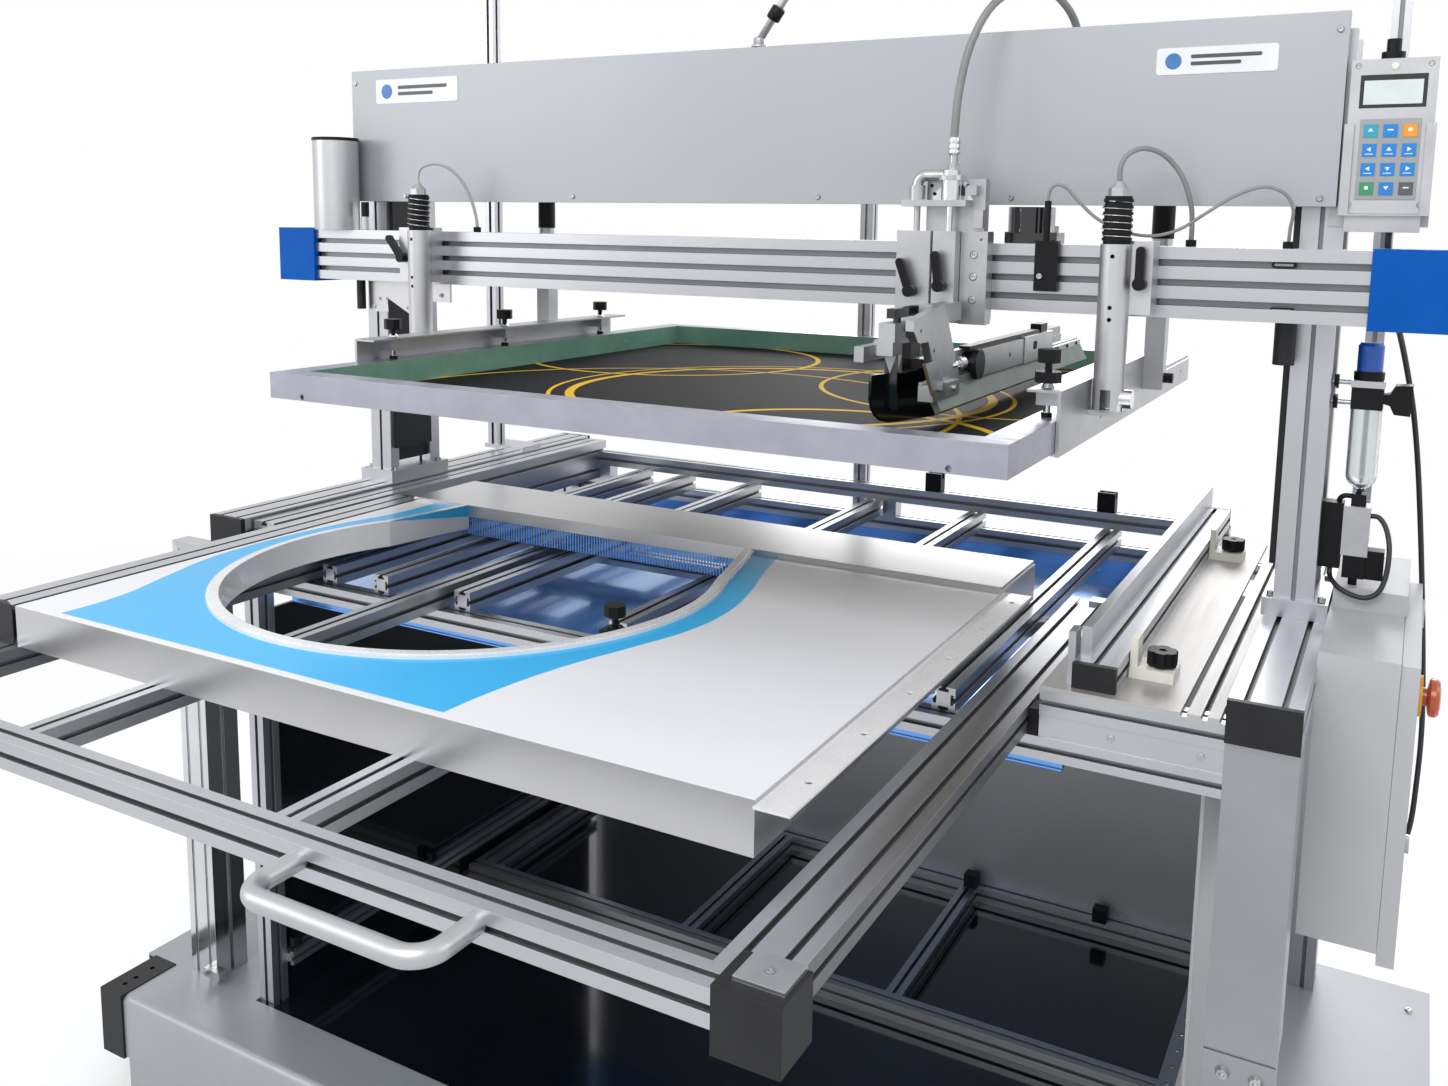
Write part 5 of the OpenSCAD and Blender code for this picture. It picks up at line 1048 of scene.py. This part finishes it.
# %% Fittings
turned("hose_ferrule", "carriage", chrome,
       [(5.6, 0), (7.6, 1), (7.6, 5), (6.6, 6), (7.6, 7), (7.6, 12), (6.6, 13), (7.4, 14),
        (7.4, 20), (6.0, 22)], (330, 218, 1499))
turned("hose_collar", "frame", black_plastic,
       [(9.5, 0), (9.5, 6), (7.2, 8), (7.2, 12)], (441, 362, 1627.8))
for k, (x, z) in enumerate(((712, 1374), (713, 1323))):
    plate("slot_nut_%d" % (k + 1), "head", black_plastic,
          rounded(x - 13, x + 13, z - 3.2, z + 3.2, 3, 246), FRONT, 3.2)
    # the nut's face takes the painted shade of the slot
    plate("slot_nut_face_%d" % (k + 1), "head", slot_shade["x"],
          rounded(x - 10, x + 10, z - 1.4, z + 1.4, 1.3, 242.9), FRONT, 0.5)
arm_way = Vector((46, 0, 64)).normalized()
arm_foot = Vector((12, 300, 1655))
turned("arm_foot", "frame", satin,
       [(11, 0), (11, 3), (8, 4.5), (8, 12), (6.4, 14)], arm_foot)
turned("arm_tube", "frame", tube_metal, [(5.2, 0), (5.2, 96), (4.2, 98)],
       arm_foot + Vector((0, 0, 9)), arm_way)
turned("arm_clamp", "frame", black_plastic,
       [(8, 0), (10, 1.5), (10, 18), (8, 19.5)], arm_foot + Vector((0, 0, 9)) + arm_way * 34,
       arm_way, 12)


# %% [markdown]
# The stage is a plain pale floor and soft light from all around, with four large lamps for
# shape. The camera, metal and clear plastic see a white room through Light
# Path; the light that falls on the machine stays at a plain level.

# %% Floor, world and lamps
# the floor turns to plain white between these distances from the machine, in metres
WHITE_FROM, WHITE_BY = 1.6, 4.5
# the camera sees the near floor a little brighter, so that it joins the white
FLOOR_LIFT = 0.16
ROOM_LIGHT = 0.57


def flat_plane(name, size, z):
    half = size / 2
    mesh = bpy.data.meshes.new(name)
    mesh.from_pydata([(-half, -half, z), (half, -half, z), (half, half, z), (-half, half, z)],
                     [], [(0, 1, 2, 3)])
    plane = bpy.data.objects.new(name, mesh)
    bpy.context.scene.collection.objects.link(plane)
    return plane


floor = flat_plane("floor", 40, -0.001)
floor_material = bpy.data.materials.new("pale floor")
floor_material.use_nodes = True
tree = floor_material.node_tree
shader = tree.nodes["Principled BSDF"]
shader.inputs["Base Color"].default_value = rgb("#F4F5F6")
shader.inputs["Roughness"].default_value = 0.6
place = add(tree, "ShaderNodeTexCoord").outputs["Object"]
away = add(tree, "ShaderNodeVectorMath", links={0: place}, operation="LENGTH").outputs["Value"]
far = add(tree, "ShaderNodeMapRange", {"From Min": WHITE_FROM, "From Max": WHITE_BY},
          {"Value": away})
white = add(tree, "ShaderNodeEmission", {"Color": rgb("#FFFFFF"), "Strength": 1.0})
lift = add(tree, "ShaderNodeMath", {1: FLOOR_LIFT},
           {0: add(tree, "ShaderNodeLightPath").outputs["Is Camera Ray"]}, operation="MULTIPLY")
glow = add(tree, "ShaderNodeEmission", {"Color": rgb("#FFFFFF")}, {"Strength": lift.outputs[0]})
near = add(tree, "ShaderNodeAddShader", links={0: shader.outputs[0], 1: glow.outputs[0]})
blend = add(tree, "ShaderNodeMixShader", links={0: far.outputs[0], 1: near.outputs[0],
                                                2: white.outputs[0]})
tree.links.new(blend.outputs[0], tree.nodes["Material Output"].inputs["Surface"])
floor.data.materials.append(floor_material)

world = bpy.data.worlds.new("studio")
bpy.context.scene.world = world
world.use_nodes = True
tree = world.node_tree
tree.nodes["Background"].inputs["Color"].default_value = rgb("#FFFFFF")
tree.nodes["Background"].inputs["Strength"].default_value = ROOM_LIGHT
seen = add(tree, "ShaderNodeBackground", {"Color": rgb("#FFFFFF"), "Strength": 1.0})
path = add(tree, "ShaderNodeLightPath")
some = add(tree, "ShaderNodeMath", links={0: path.outputs["Is Camera Ray"],
                                          1: path.outputs["Is Glossy Ray"]}, operation="MAXIMUM")
all_seen = add(tree, "ShaderNodeMath", links={0: some.outputs[0],
                                              1: path.outputs["Is Transmission Ray"]},
               operation="MAXIMUM")
both = add(tree, "ShaderNodeMixShader", links={0: all_seen.outputs[0],
                                               1: tree.nodes["Background"].outputs[0],
                                               2: seen.outputs[0]})
tree.links.new(both.outputs[0], tree.nodes["World Output"].inputs["Surface"])


def lamp(name, spot, aim, size, power):
    data = bpy.data.lights.new(name, "AREA")
    data.shape = "RECTANGLE"
    data.size, data.size_y = size
    data.energy = power
    light = bpy.data.objects.new(name, data)
    light.location = spot
    light.rotation_euler = (Vector(aim) - Vector(spot)).to_track_quat("-Z", "Y").to_euler()
    bpy.context.scene.collection.objects.link(light)


lamp("overhead front", (0.4, -2.6, 3.4), (0.0, 0.1, 1.0), (2.6, 1.6), 68)
lamp("front left", (-3.0, -2.6, 2.4), (0.0, 0.2, 1.0), (1.6, 2.2), 32)
lamp("back", (-0.3, 3.9, 2.5), (0.0, 0.3, 0.85), (3.0, 1.4), 60)
lamp("right", (3.4, 0.9, 2.6), (0.0, 0.1, 0.95), (1.4, 1.8), 15)
bpy.context.scene.view_settings.view_transform = "Standard"
print("lamps:", len(bpy.data.lights))
